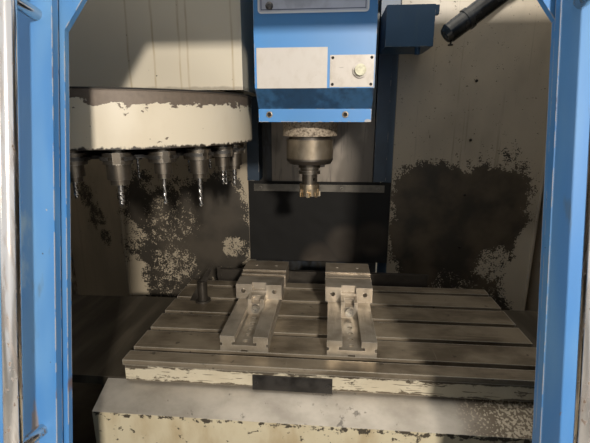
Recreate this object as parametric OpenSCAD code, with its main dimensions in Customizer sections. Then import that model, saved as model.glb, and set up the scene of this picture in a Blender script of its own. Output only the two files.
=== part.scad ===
// Vertical machining centre with its front doors open: a fixed column, a head that
// climbs it, a table on a saddle, a drum magazine and a leaning sheet-metal front.
// The origin is on the floor under the spindle axis. X is to the right, Y to the back.

/* [Table] */
// Length of the table along X
table_len = 1000; // [960:5:1005]
// Depth of the table along Y
table_deep = 500; // [490:5:510]
// Height of the table top above the floor
table_z = 880; // [860:5:900]
// Thickness of the table slab
slab_t = 56; // [52:1:62]
// Height of the bare steel lip along the table's upper edge
lip_h = 14; // [10:1:18]
// How far the lip stands proud of the painted face
lip_proud = 3; // [1:0.5:4]
// Distance from one T-slot to the next
slot_pitch = 100; // [90:1:104]
// Width of the T-slot's throat
slot_w = 18; // [14:1:20]
// Width of the T-slot's foot
slot_foot_w = 30; // [26:1:34]
// Depth of the throat
slot_throat = 20; // [16:1:22]
// Height of the foot
slot_foot_h = 13; // [10:1:15]
// Where the table's middle stands along X in the photograph
table_x = 78; // [60:1:90]
// Where the table's middle stands along Y in the photograph
table_y = -85; // [-95:1:-75]

/* [Vises] */
// Length of each vise bed
vise_len = 426; // [400:2:440]
// Width of each vise bed
vise_w = 119; // [112:1:126]
// Height of each vise bed
vise_h = 41; // [36:1:46]
// Width of the channel along the bed
vise_channel_w = 46; // [40:1:50]
// Depth of the channel
vise_channel_d = 24; // [18:1:26]
// Width of the jaws
jaw_w = 138; // [130:1:146]
// Height of the jaws above the bed
jaw_h = 49; // [42:1:56]
// Depth of the sliding jaw
jaw_deep = 62; // [54:1:70]
// Depth of the fixed jaw with its plates
fixed_jaw_deep = 132; // [120:1:140]
// Radius of the vise screw
vise_screw_r = 9; // [7:0.5:10]
// Where the left vise's middle stands along X
vise_left_x = -143; // [-150:1:-135]
// Where the right vise's middle stands along X
vise_right_x = 119; // [112:1:126]
// Distance from the table's front edge to the vise
vise_setback = 59; // [50:1:70]

/* [Spindle and tool] */
// Height of the spindle's gauge face above the table
gauge_h = 432; // [420:1:440]
// Radius of the nose cylinder
nose_r = 65; // [60:1:70]
// Length of the nose cylinder
nose_len = 68; // [60:1:76]
// Radius of the dirty ring above the nose
ring_r = 75; // [70:1:80]
// Height of the ring
ring_h = 35; // [30:1:38]
// Radius of the turning spindle
spindle_r = 44; // [40:1:48]
// Large radius of the taper in the spindle
taper_r = 22.2; // [20:0.1:24]
// Length of the taper
taper_len = 65; // [60:1:70]
// Radius of the tool holder's flange
flange_r = 31.5; // [30:0.5:33]
// Height of the tool holder's flange
flange_h = 25; // [22:1:27]
// Radius at the foot of the flange's groove
groove_r = 27; // [25:0.5:28]
// Radius of the holder's neck
neck_r = 21.5; // [19:0.5:24]
// Length of the neck
neck_len = 30; // [26:1:34]
// Radius of the face mill
mill_r = 30; // [28:0.5:33]
// Height of the face mill
mill_h = 35; // [32:1:40]
// Number of inserts on the face mill
insert_count = 7; // [5:1:8]

/* [Head] */
// Width of the head cover
head_w = 275; // [265:1:285]
// Where the head cover's middle stands along X
head_x = 17; // [12:1:20]
// Distance from the spindle axis to the cover's front face
head_front = 170; // [160:1:180]
// Height of the cover's lower edge above the table
head_low = 548; // [546:1:556]
// Height of the bright band along the lower edge
band_h = 31; // [28:1:36]
// How far the chamfer above the band goes back
chamfer = 45; // [40:1:50]
// Height of the head cover
head_cover_h = 622; // [600:2:640]
// Thickness of the head cover's sheet
cover_t = 3; // [2:0.5:4]
// Width of the spindle motor
motor_w = 220; // [200:5:230]
// Height of the spindle motor
motor_h = 290; // [260:5:320]
// Radius of the push button
button_r = 12.5; // [11:0.5:14]
// Travel of the push button
button_travel = 4; // [3:0.5:5]

/* [Magazine] */
// Distance from the spindle axis to the drum's axis
drum_x = 526; // [522:1:532]
// Room from the circle of the tools to the drum cover's outer face
drum_room = 52; // [48:1:55]
// Height of the drum cover
drum_h = 125; // [118:1:132]
// Height of the drum's lower edge above the table
drum_low = 493; // [488:1:500]
// Radius of the circle on which the tools hang
pitch_r = 305; // [300:1:308]
// Number of pockets
pockets = 20; // [16:1:22]
// Angle of the first tool from the way to the spindle
first_tool = -14; // [-18:1:-10]
// Radius of the two rods that the magazine slides on
rod_r = 15; // [12:1:18]

/* [Enclosure] */
// Half the width of the door opening
open_half = 359.5; // [357:0.5:362]
// Distance of the opening's middle to the right of the spindle axis
open_x = 7; // [4:0.5:10]
// Height of the door sill above the floor
sill_z = 780; // [760:5:790]
// Height of the opening along the leaning front
open_h = 908; // [890:2:920]
// Angle at which the front leans back
lean = 11.4; // [10.5:0.1:12]
// Distance of the front from the spindle axis at the table's level
front_reach = 650; // [648:1:660]
// Top of the enclosure above the floor
wall_top = 1960; // [1900:10:2000]
// Thickness of the sheet
sheet_t = 3; // [2:0.5:4]
// Reach of the enclosure to the left
left_reach = 1250; // [1200:10:1280]
// Reach of the enclosure to the right
right_reach = 900; // [890:5:940]
// Distance of the back walls behind the spindle axis
wall_y = 480; // [478:1:488]
// Width of each door leaf
door_w = 400; // [390:2:410]
// Thickness of a door leaf
door_t = 14; // [12:1:18]
// Half the distance between the two open leaves
door_x0 = 360.5; // [358:0.5:364]
// Distance from the spindle axis to the place where the two leaves meet
door_x = 2; // [0:0.5:4]
// Radius of the handle's tube
handle_r = 12.5; // [11:0.5:14]
// Distance of the handle in front of the leaf
handle_off = 57; // [50:1:62]
// Distance between the handle's two posts
handle_span = 638; // [600:2:660]
// Distance of the handle from its leaf's inner edge
handle_in = 25; // [22:1:30]

/* [Castings] */
// Width of the base casting
base_w = 760; // [740:10:780]
// Height of the base casting's top
base_top = 440; // [430:2:442]
// Thickness of the levelling pads
pad_t = 35; // [30:1:40]
// Radius of the foundation bolt holes
bolt_r = 11; // [9:0.5:13]
// Half the distance between the foundation bolts along X
foot_x = 425; // [420:1:435]
// Half the distance between the front foundation bolts along Y
foot_y = 450; // [440:1:460]
// Width of the column
column_w = 530; // [510:5:540]
// Depth of the column
column_deep = 440; // [400:5:480]
// Top of the column above the floor
column_top = 2240; // [2200:10:2280]
// Length of the saddle along X
saddle_len = 960; // [940:5:970]
// Length of each way cover's stage
stage_len = 360; // [355:1:360]

/* [Clearances] */
// Gap between pieces that slide on each other
slide_gap = 0.3; // [0.2:0.05:0.5]
// Radial clearance of a shaft in its bore
run_gap = 0.05; // [0.02:0.01:0.1]

/* [Hidden] */
$fn = 64;
blue = [0.25, 0.5, 0.78];
cream = [0.87, 0.84, 0.72];
steel = [0.5, 0.49, 0.46];
dark = [0.2, 0.19, 0.18];
iron = [0.36, 0.38, 0.37];

// Table, seen from its middle
slab_low = table_z - slab_t;
front_y = table_y - table_deep / 2;
rear_y = table_y + table_deep / 2;
slot_rows = [-2, -1, 0, 1, 2];

// Way covers: the table's stage is on top, the middle one under it, the fixed one lowest
cover_sheet = 2;
cover_half = table_deep / 2 - 17;
cover_flange = 25;
cover_top = slab_low - 4;
stage_drop = cover_sheet + slide_gap;
block_half = 170;
fixed_in = saddle_len / 2 + 30;
mid_in = (fixed_in + block_half) / 2;
cover_end = right_reach - 30;

// Saddle and the ways that it carries and runs on
saddle_half = table_deep / 2 - 10;
saddle_top = 640;
saddle_low = base_top + 16;
x_way_h = 60;
x_way_w = 60;
x_way_off = 160;
y_way_h = 60;
y_way_w = 70;
y_way_off = 230;
screw_r = 16;
screw_lift_x = 40;
screw_lift_y = 60;
x_screw_z = saddle_top + screw_lift_x;
y_screw_z = base_top + screw_lift_y;
bearing_w = 50;
bearing_t = 30;
servo_w = 110;
servo_len = 120;
channel_w = 120;
tunnel_up = 60;

// Base
base_front = -520;
base_back = 1040;
base_low = pad_t + 25;
foot_rear = 960;
foot_size = 90;
y_way_front = -500;
y_way_back = 440;

// Column and head ways
column_y = wall_y + 80;
way_t = 40;
way_off = 190;
way_w = 40;
z_way_low = table_z + 270;
z_screw_y = column_y - 25;
carriage_half = 222;
carriage_back = column_y - way_t + 18;
head_floor = table_z + head_low + 12;
carriage_h = 360;
head_side_l = head_x - head_w / 2;
head_side_r = head_x + head_w / 2;
head_bottom = table_z + head_low;
head_top = head_bottom + head_cover_h;
z_low = table_z + gauge_h;
ring_low = head_bottom - 3 - ring_h;
cartridge_top = head_floor + 340;
cover_back = wall_y - 20;
plate_t = 1.5;
button_x = 121;
button_z = table_z + 662;
button_hole = 6.3;

// Magazine levels
key_w = 16.4;
drum_r = pitch_r + drum_room;
drum_z = table_z + drum_low;
drum_top = drum_z + drum_h;
tool_gauge = drum_z - 7;
carriage_z = drum_top + 42;
magazine_y0 = -100;
magazine_y1 = 220;
rod_z = carriage_z + 50;
pocket_z = tool_gauge - 2 - flange_h / 2 - 4;
magazine_x0 = -766;
magazine_x1 = -164;
arm_x0 = -335;
arm_x1 = -292;
rod_rows = [-45, 105];

// Front frame in its own leaning plane
front_base_y = -front_reach - (table_z - sill_z) * tan(lean);
frame_h = (wall_top - sill_z) / cos(lean);
door_gap = 6;
door_low = -20;
door_high = open_h + 30;
rail_h = 25;
corner_w = 93;
corner_h = 143;
flange_deep = 10;
handle_mid = 501;
fold_gap = 0.1;
side_front = front_base_y + sheet_t / cos(lean) + fold_gap;
bar_t = 18.5;

// Saddle's folded front cover
skirt_left = -474;
skirt_right = 525;
shoulder_y0 = table_y - cover_half - 4;
shoulder_y1 = front_y - 65;
shoulder_z0 = slab_low - 5;
shoulder_z1 = slab_low - 39;
skirt_low = 560;
skirt_t = 4;

// Vises, standing on the table
vise_y0 = front_y + vise_setback;
vise_y1 = vise_y0 + vise_len;
bed_z = table_z + vise_h;
fixed_y0 = vise_y1 - fixed_jaw_deep - 16;
slide_y1 = fixed_y0 - slide_gap;
slide_y0 = slide_y1 - jaw_deep;
screw_z = bed_z - 4;

// Electrical cabinet and operator's panel
cabinet_half = 430;
cabinet_low = 560;
cabinet_high = 1900;
cabinet_deep = 240;
panel_front = -640;
panel_back = -460;
panel_low = 1120;
panel_high = 1640;
panel_w = 320;
panel_tilt = 7;
stop_up = 70;
stop_hole = 12.2;

// Back walls and what hangs at them
bay_x = -832;
bay_slope = 0.589;
wall_inner_l = -276;
wall_inner_r = 300;
wall_outer_r = 869;
walls_low = 120;
apron_l = -305;
apron_r = 330;

// A box given by its two corners
module box(a, b) {
    translate(a) cube(b - a);
}

// A profile drawn in Y and Z, carried along X from x0 to x1
module along_x(x0, x1) {
    translate([x0, 0, 0]) rotate([90, 0, 90]) linear_extrude(x1 - x0) children();
}

// A profile drawn in X and Z, carried along Y from y0 to y1
module along_y(y0, y1) {
    translate([0, y1, 0]) rotate([90, 0, 0]) linear_extrude(y1 - y0) children();
}

// A rod along X or Y, from one place over a length
module rod_x(p, len, r) {
    translate(p) rotate([0, 90, 0]) cylinder(r = r, h = len);
}

module rod_y(p, len, r) {
    translate(p) rotate([-90, 0, 0]) cylinder(r = r, h = len);
}

// The two sides of the machine
module both_sides() {
    children();
    mirror([1, 0, 0]) children();
}

// Places in the leaning front's own plane: X, depth behind the plane, height along it
module leaning() {
    translate([0, front_base_y, sill_z]) rotate([-lean, 0, 0]) children();
}

// Base casting: box with side pockets, foot lugs, box ways and the screw's bearing blocks
module base() color(blue) {
    difference() {
        union() {
            box([-base_w / 2, base_front, base_low], [base_w / 2, base_back, base_top]);
            both_sides() for (y = [-foot_y, foot_y, foot_rear])
                box([base_w / 2, y - foot_size / 2, pad_t],
                    [foot_x + foot_size / 2, y + foot_size / 2, pad_t + 40]);
        }
        box([-base_w / 2 + 60, base_front + 60, base_low - 1],
            [base_w / 2 - 60, base_back - 60, base_top - 60]);
        for (s = [-1, 1], y = [-420, -140, 140, 420, 700])
            translate([s * base_w / 2, y + 115, (base_low + base_top) / 2 + 20])
                cube([50, 200, 210], center = true);
        for (s = [-1, 1], y = [-foot_y, foot_y, foot_rear])
            translate([s * foot_x, y, pad_t - 1]) cylinder(r = bolt_r, h = 42);
    }
    for (s = [-1, 1])
        box([s * y_way_off - y_way_w / 2, y_way_front, base_top],
            [s * y_way_off + y_way_w / 2, y_way_back, base_top + y_way_h]);
    for (y = [y_way_front, y_way_back - bearing_t])
        difference() {
            box([-bearing_w, y, base_top], [bearing_w, y + bearing_t, y_screw_z + 45]);
            rod_y([0, y - 1, y_screw_z], bearing_t + 2, screw_r + run_gap);
        }
}

// Six round steel pads under the foot lugs
module leveling_pads() color(steel)
    for (s = [-1, 1], y = [-foot_y, foot_y, foot_rear])
        translate([s * foot_x, y, 0]) difference() {
            union() {
                cylinder(r = 55, h = pad_t - 12);
                cylinder(r = 38, h = pad_t);
            }
            translate([0, 0, -1]) cylinder(r = bolt_r, h = pad_t + 2);
        }

// A servo motor standing on its flange, its shaft side at z = 0
module servo() {
    translate([0, 0, 6]) cube([servo_w, servo_w, 12], center = true);
    translate([0, 0, 12]) cylinder(r = servo_w / 2 - 5, h = servo_len - 36);
    translate([0, 0, servo_len - 12]) cube([servo_w - 18, servo_w - 18, 25], center = true);
}

// The Y motor in front of the base and the Z motor on the column's top
module servo_motors() color(dark) {
    translate([0, y_way_front - 20, y_screw_z]) rotate([90, 0, 0]) servo();
    box([-bearing_w, y_way_front - 20, base_top], [bearing_w, y_way_front, y_screw_z + 45]);
    translate([0, z_screw_y, column_top]) servo();
}

// Column casting with the head's box ways and the screw's bearing blocks
module column() color(blue) {
    difference() {
        box([-column_w / 2, column_y, base_top], [column_w / 2, column_y + column_deep, column_top]);
        box([-column_w / 2 + 60, column_y + 60, base_top + 60],
            [column_w / 2 - 60, column_y + column_deep + 1, column_top - 60]);
    }
    box([-column_w / 2 + 60, column_y + column_deep / 2, 1260],
        [column_w / 2 - 60, column_y + column_deep / 2 + 30, column_top - 60]);
    for (s = [-1, 1])
        box([s * way_off - way_w / 2, column_y - way_t, z_way_low],
            [s * way_off + way_w / 2, column_y, column_top - 10]);
    for (z = [z_way_low - 10, column_top - bearing_t])
        difference() {
            box([-bearing_w, column_y - 60, z], [bearing_w, column_y, z + bearing_t]);
            translate([0, z_screw_y, z - 1]) cylinder(r = screw_r + run_gap, h = bearing_t + 2);
        }
}

// Blue folded strips beside the head's ways
module column_covers() color(blue * 0.7)
    both_sides() {
        box([carriage_half + 6, wall_y - 10, table_z + 312],
            [carriage_half + 54, wall_y - 10 + sheet_t, column_top - 10]);
        box([carriage_half + 6, wall_y - 10, table_z + 312],
            [carriage_half + 6 + sheet_t, column_y, column_top - 10]);
        box([carriage_half + 6, column_y - sheet_t, table_z + 312],
            [column_w / 2 - 2, column_y, column_top - 10]);
    }

// Left back wall, folded at its corner into the panel that runs back beside it
module left_back_wall() color(cream) {
    difference() {
        box([bay_x, wall_y, base_top], [wall_inner_l, wall_y + sheet_t, wall_top]);
        box([-340, wall_y - 1, drum_top + 20], [-270, wall_y + sheet_t + 1, wall_top + 1]);
    }
    bay = left_reach - sheet_t + bay_x;
    along_z = wall_top - base_top;
    translate([0, 0, base_top]) linear_extrude(along_z)
        polygon([[bay_x, wall_y], [bay_x, wall_y + sheet_t],
            [bay_x - bay, wall_y + bay * bay_slope + sheet_t], [bay_x - bay, wall_y + bay * bay_slope]]);
    translate([bay_x, wall_y, base_top]) cylinder(r = 9, h = along_z, $fn = 24);
}

// Right back wall with its corner strip, joined to the side
module right_back_wall() color(cream) {
    box([wall_inner_r, wall_y, base_top], [wall_outer_r, wall_y + sheet_t, wall_top]);
    translate([0, 0, base_top]) linear_extrude(wall_top - base_top)
        polygon([[wall_outer_r, wall_y], [wall_outer_r, wall_y + sheet_t],
            [right_reach - sheet_t, wall_y + 60 + sheet_t], [right_reach - sheet_t, wall_y + 60]]);
    translate([wall_outer_r, wall_y, base_top]) cylinder(r = 7, h = wall_top - base_top, $fn = 24);
}

// The outline of a side wall in Y and Z, its front edge leaning with the front
module side_outline(back) {
    polygon([[side_front, walls_low], [back, walls_low], [back, wall_top],
        [side_front + (wall_top - sill_z) * tan(lean), wall_top], [side_front, sill_z]]);
}

module side_walls() color(blue) {
    back_l = wall_y + (left_reach + bay_x) * bay_slope + 20;
    along_x(-left_reach, -left_reach + sheet_t) side_outline(back_l);
    along_x(right_reach - sheet_t, right_reach) side_outline(wall_y + 90);
    for (z = [walls_low, wall_top - 30]) {
        box([-left_reach, back_l - bar_t, z], [-left_reach + 30, back_l, z + 30]);
        box([right_reach - 30, wall_y + 67, z], [right_reach, wall_y + 90, z + 30]);
    }
}

// The door opening's outline, with its two upper corners cut off
module opening_outline(grow = 0) {
    polygon([[-open_half - grow, -grow], [open_half + grow, -grow],
        [open_half + grow, open_h - corner_h + grow / 2], [open_half - corner_w + grow / 2, open_h + grow],
        [-open_half + corner_w - grow / 2, open_h + grow],
        [-open_half - grow, open_h - corner_h + grow / 2]]);
}

// Leaning front panel: its opening has a flange turned inward; the rails guide the doors
module front_frame() color(blue) leaning() {
    foot = sheet_t * tan(lean) + fold_gap;
    along_y(0, sheet_t) difference() {
        translate([-left_reach, foot]) square([left_reach + right_reach, frame_h - foot]);
        translate([open_x, 40]) opening_outline();
    }
    along_y(sheet_t, flange_deep) translate([open_x, 40]) difference() {
        opening_outline(sheet_t);
        opening_outline();
    }
    for (z = [40 + door_low - rail_h - slide_gap, 40 + door_high + slide_gap])
        box([door_x - door_x0 - door_w - 20, -door_gap - door_t, z],
            [door_x + door_x0 + door_w + 20, 0, z + rail_h]);
}

// Vertical sheet below the sill, with folded edges and a kick recess
module lower_front() color(blue) {
    box([-left_reach, front_base_y, walls_low], [right_reach, front_base_y + sheet_t, sill_z]);
    box([-left_reach, front_base_y, walls_low - 3], [right_reach, front_base_y + 40, walls_low]);
    box([-left_reach + sheet_t, front_base_y + sheet_t, sill_z - 3],
        [right_reach - sheet_t, front_base_y + 30, sill_z]);
}

// Floor of the working space, fitted round the base and sloping walls up to the sides
module chip_tray() color(dark) {
    difference() {
        box([-left_reach + sheet_t, front_base_y + sheet_t, base_top - 10],
            [right_reach - sheet_t, wall_y + 20, base_top]);
        box([-base_w / 2, base_front, base_top - 11], [base_w / 2, wall_y + 21, base_top + 1]);
    }
}

// Black rubber sheet that hangs behind the gap between the back walls
module rubber_apron() color([0.09, 0.09, 0.09])
    box([apron_l, wall_y + sheet_t, table_z - 30], [apron_r, wall_y + 2 * sheet_t, table_z + 308]);

module apron_clamp_strip() color(steel) {
    box([-252, wall_y, table_z + 268], [274, wall_y + sheet_t, table_z + 296]);
    for (x = [-225, -60, 105, 250])
        rod_y([x, wall_y - 4, table_z + 282], 4, 6);
}

// Folded blue box on the right column strip with the coolant nozzle under it
module side_box() color(blue) {
    difference() {
        box([carriage_half + 6, 300, table_z + 783], [381, wall_y - 10, table_z + 908]);
        box([carriage_half + 9, 303, table_z + 786], [378, wall_y - 12, table_z + 909]);
    }
    box([381, 310, table_z + 880], [395, 330, table_z + 908]);
    translate([338, 330, table_z + 762]) difference() {
        cylinder(r = 9, h = 21);
        translate([0, 0, -1]) cylinder(r = 4, h = 18);
    }
}

// Tubular lamp on an arm from the right back wall
module work_lamp() color(dark) {
    translate([415, 250, table_z + 812]) rotate([0, 53, 0]) {
        cylinder(r = 30, h = 360);
        translate([0, 0, -14]) cylinder(r1 = 22, r2 = 30, h = 14);
        translate([0, 0, 60]) cylinder(r = 33, h = 14);
        translate([0, 0, 330]) cylinder(r = 34, h = 22);
    }
    rod_y([655, 265, table_z + 993], wall_y - 265, 11);
    translate([655, wall_y - 8, table_z + 993]) rotate([-90, 0, 0]) cylinder(r = 30, h = 8);
}

// Beam from the column to the magazine, with the two rods that the magazine slides on
module magazine_bracket() color(cream) {
    box([magazine_x0 + 6, magazine_y1 - 30, carriage_z - 10],
        [magazine_x1 - 6, magazine_y1 - cover_t, rod_z + 110]);
    box([arm_x0, magazine_y1 - cover_t, carriage_z - 10], [arm_x1, column_y + 140, rod_z + 110]);
    box([arm_x0, column_y + 1, carriage_z - 10], [-column_w / 2, column_y + 140, rod_z + 110]);
    for (x = [magazine_x0 + 6, magazine_x1 - 26])
        box([x, magazine_y0 + 20, rod_z - 30], [x + 20, magazine_y1 - 30, rod_z + 30]);
    for (y = rod_rows)
        rod_x([magazine_x0 + 24, y, rod_z], magazine_x1 - magazine_x0 - 48, rod_r);
}

// Cream sheet cover over the magazine's slide, open below
module magazine_cover() color(cream) difference() {
    box([magazine_x0, magazine_y0, drum_top + 8], [magazine_x1, magazine_y1, drum_top + 500]);
    box([magazine_x0 + cover_t, magazine_y0 + cover_t, drum_top + 7],
        [magazine_x1 - cover_t, magazine_y1 - cover_t, drum_top + 500 - cover_t]);
    box([arm_x0 - 1, magazine_y1 - cover_t - 1, drum_top + 7], [arm_x1 + 1, magazine_y1 + 1, rod_z + 111]);
}

// Electrical cabinet on the column's back: a sheet box with two plain doors
module rear_cabinet() color(cream) {
    y0 = column_y + column_deep;
    difference() {
        box([-cabinet_half, y0, cabinet_low], [cabinet_half, y0 + cabinet_deep, cabinet_high]);
        box([-cabinet_half + sheet_t, y0 + sheet_t, cabinet_low + sheet_t],
            [cabinet_half - sheet_t, y0 + cabinet_deep - sheet_t, cabinet_high - sheet_t]);
    }
    y1 = y0 + cabinet_deep;
    both_sides() box([6, y1, cabinet_low + 20], [cabinet_half - 10, y1 + 6, cabinet_high - 20]);
}

// Operator's panel box on the right side, its face leaning back a little
// Places on the panel's face: X, height along the face, depth in front of it
module on_panel() {
    translate([right_reach, panel_front, panel_low]) rotate([90 - panel_tilt, 0, 0]) children();
}

module operator_panel() color(cream) difference() {
    union() {
        difference() {
            along_x(right_reach, right_reach + panel_w) panel_outline(0);
            along_x(right_reach + sheet_t, right_reach + panel_w - sheet_t) panel_outline(sheet_t);
        }
        on_panel() box([40, 200, -1], [panel_w - 40, 440, 4]);
        on_panel() translate([panel_w - 70, stop_up, -sheet_t]) cylinder(r = 26, h = 8 + sheet_t);
    }
    on_panel() translate([panel_w - 70, stop_up, -sheet_t - 1]) cylinder(r = stop_hole, h = 20);
}

module panel_outline(t) {
    polygon([[panel_front + t * 1.1, panel_low + t], [panel_back - t, panel_low + t],
        [panel_back - t, panel_high - t],
        [panel_front + (panel_high - panel_low) * tan(panel_tilt) + t, panel_high - t]]);
}

// Mushroom stop button of the operator's panel
module e_stop() color([0.7, 0.1, 0.08]) on_panel() translate([panel_w - 70, stop_up, 0]) {
    translate([0, 0, -1]) cylinder(r = stop_hole - 0.2, h = 17);
    translate([0, 0, 15]) cylinder(r1 = 17, r2 = 20, h = 6);
    translate([0, 0, 21]) cylinder(r1 = 20, r2 = 14, h = 6);
}

// Saddle: runs on the base's ways, carries the table's ways and the X screw's bearings
module saddle() color(iron) {
    difference() {
        box([-saddle_len / 2, table_y - saddle_half, saddle_low],
            [saddle_len / 2, table_y + saddle_half, saddle_top]);
        for (s = [-1, 1])
            box([s * y_way_off - y_way_w / 2 - slide_gap, -1000, saddle_low - 1],
                [s * y_way_off + y_way_w / 2 + slide_gap, 1000, base_top + y_way_h + slide_gap]);
        box([-channel_w / 2, -1000, saddle_low - 1], [channel_w / 2, 1000, y_screw_z + 50]);
        for (s = [-1, 1])
            box([s * 390 - 80, -1000, saddle_low - 1], [s * 390 + 80, 1000, saddle_low + 80]);
    }
    for (s = [-1, 1])
        box([-saddle_len / 2, table_y + s * x_way_off - x_way_w / 2, saddle_top],
            [saddle_len / 2, table_y + s * x_way_off + x_way_w / 2, saddle_top + x_way_h]);
    for (x = [-saddle_len / 2, saddle_len / 2 - bearing_t])
        difference() {
            box([x, table_y - bearing_w, saddle_top],
                [x + bearing_t, table_y + bearing_w, x_screw_z + 40]);
            rod_x([x - 1, table_y, x_screw_z], bearing_t + 2, screw_r + run_gap);
        }
    difference() {
        box([-channel_w / 2, table_y - 40, base_top + 20], [channel_w / 2, table_y + 40, y_screw_z + 50]);
        rod_y([0, table_y - 41, y_screw_z], 82, screw_r + run_gap);
    }
}

// Folded front cover of the saddle: bare sloping shoulder, painted face, closed ends
module saddle_skirt_outline(t) {
    polygon([[shoulder_y0 + 0.1, shoulder_z0 - t * 1.2], [shoulder_y1 + t, shoulder_z1 - t],
        [shoulder_y1 + t, skirt_low + t], [table_y - saddle_half, skirt_low + t],
        [table_y - saddle_half, shoulder_z0 - 60], [shoulder_y0 + 0.1, shoulder_z0 - 20]]);
}

module saddle_front_cover() color(cream) difference() {
    along_x(skirt_left, skirt_right) polygon([[shoulder_y0, shoulder_z0], [shoulder_y1, shoulder_z1],
        [shoulder_y1, skirt_low], [table_y - saddle_half, skirt_low],
        [table_y - saddle_half, shoulder_z0 - 40], [shoulder_y0, shoulder_z0 - 20]]);
    along_x(skirt_left + skirt_t, skirt_right - skirt_t) saddle_skirt_outline(skirt_t);
    along_x(skirt_left + skirt_t, skirt_right - skirt_t) polygon([[shoulder_y0 - 5, shoulder_z0 - 12],
        [shoulder_y0 + 5, shoulder_z0 - 12], [table_y - saddle_half + 1, shoulder_z0 - 70],
        [table_y - saddle_half + 1, skirt_low + skirt_t], [table_y - saddle_half - 9, skirt_low + skirt_t]]);
}

// Servo motor on the saddle's right end
module x_servo_motor() color(dark)
    translate([saddle_len / 2, table_y, x_screw_z]) rotate([0, 90, 0]) servo();

// One stage of a way cover: a shallow tray from x0 to x1, turned down at front and back
module tray(x0, x1, level) {
    z1 = cover_top - level * stage_drop;
    half = cover_half - level * stage_drop;
    difference() {
        box([x0, table_y - half, cover_top - cover_flange], [x1, table_y + half, z1]);
        box([x0 - 1, table_y - half + cover_sheet, cover_top - cover_flange - 1],
            [x1 + 1, table_y + half - cover_sheet, z1 - cover_sheet]);
    }
}

// Lowest stages with the brackets that carry them from the saddle's ends
module fixed_way_covers() color(steel) both_sides() {
    tray(fixed_in, cover_end, 2);
    under = cover_top - 2 * stage_drop - cover_sheet;
    for (s = [-1, 1]) {
        y = table_y + s * 150;
        box([saddle_len / 2, y - 50, 540], [saddle_len / 2 + 6, y + 50, 600]);
        box([saddle_len / 2, y - 50, 594], [fixed_in + 8, y + 50, 600]);
        box([fixed_in + 2, y - 50, 594], [fixed_in + 8, y + 50, under]);
    }
}

module mid_way_covers() color(steel) {
    tray(table_x / 2 + mid_in, table_x / 2 + mid_in + stage_len, 1);
    tray(table_x / 2 - mid_in - stage_len, table_x / 2 - mid_in, 1);
}

module table_way_covers() color(steel) {
    tray(table_x + block_half, table_x + block_half + stage_len, 0);
    tray(table_x - block_half - stage_len, table_x - block_half, 0);
}

// Dark bar behind the table on two legs from the saddle's back
module rear_bar() color(dark) {
    y = rear_y + 25;
    box([-334, y - 8, table_z - 8], [397, y + 8, table_z + 36]);
    for (x = [-320, 345]) {
        box([x, y - 8, 600], [x + 40, y, table_z - 8]);
        box([x, table_y + saddle_half, 600], [x + 40, y, 610]);
    }
    box([-334, y - 14, table_z + 10], [-322, y - 8, table_z + 46]);
}

// Table: slab with five T-slots and a bare lip, and the block that rides the X ways
module table() color(steel) {
    difference() {
        union() {
            box([table_x - table_len / 2, front_y + lip_proud, slab_low],
                [table_x + table_len / 2, rear_y - lip_proud, table_z]);
            box([table_x - table_len / 2 - lip_proud, front_y, table_z - lip_h],
                [table_x + table_len / 2 + lip_proud, rear_y, table_z]);
        }
        for (r = slot_rows) {
            y = table_y + r * slot_pitch;
            z = table_z - slot_throat - slot_foot_h;
            box([table_x - 600, y - slot_w / 2, table_z - slot_throat - 1],
                [table_x + 600, y + slot_w / 2, table_z + 1]);
            box([table_x - 600, y - slot_foot_w / 2, z],
                [table_x + 600, y + slot_foot_w / 2, z + slot_foot_h]);
        }
    }
    x0 = table_x - block_half;
    x1 = table_x + block_half;
    way_top = saddle_top + x_way_h;
    difference() {
        box([x0, table_y - 205, saddle_top + 10], [x1, table_y + 205, slab_low]);
        for (s = [-1, 1])
            box([x0 - 1, table_y + s * x_way_off - x_way_w / 2 - slide_gap, saddle_top + 9],
                [x1 + 1, table_y + s * x_way_off + x_way_w / 2 + slide_gap, way_top + slide_gap]);
        box([x0 - 1, table_y - channel_w / 2, saddle_top + 9],
            [x1 + 1, table_y + channel_w / 2, x_screw_z + tunnel_up]);
    }
    difference() {
        box([table_x - 40, table_y - channel_w / 2, saddle_top + 10],
            [table_x + 40, table_y + channel_w / 2, x_screw_z + tunnel_up]);
        rod_x([table_x - 41, table_y, x_screw_z], 82, screw_r + run_gap);
    }
}

// Dark bare plate on the table's painted face, with its two rivets
module table_front_plate() color(dark) {
    box([-112, front_y - 1, table_z - 61], [74, front_y + lip_proud, table_z - 23]);
    for (x = [-103, 65])
        translate([x, front_y - 1, table_z - 42]) rotate([90, 0, 0]) cylinder(r = 4, h = 2);
}

// Bed of a vise: central channel with a row of pin holes, side notches, a bottom key way
module vise_bed(x) difference() {
    translate([x, 0, 0]) along_y(vise_y0, vise_y1) difference() {
        translate([-vise_w / 2, table_z]) square([vise_w, vise_h]);
        translate([-vise_channel_w / 2, bed_z - vise_channel_d])
            square([vise_channel_w, vise_channel_d + 1]);
        translate([-vise_channel_w / 2 - 8, bed_z - vise_channel_d]) square([vise_channel_w + 16, 8]);
        for (s = [-1, 1])
            translate([s * vise_w / 2 - 5, table_z + 14]) square([10, 9]);
        translate([-9, table_z - 1]) square([18, 6]);
    }
    for (n = [0:5])
        translate([x, vise_y0 + 22 + n * 30, bed_z - vise_channel_d - 6]) cylinder(r = 7, h = 8, $fn = 32);
}

module vise_bodies() color(steel) {
    vise_bed(vise_left_x);
    vise_bed(vise_right_x);
}

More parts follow.
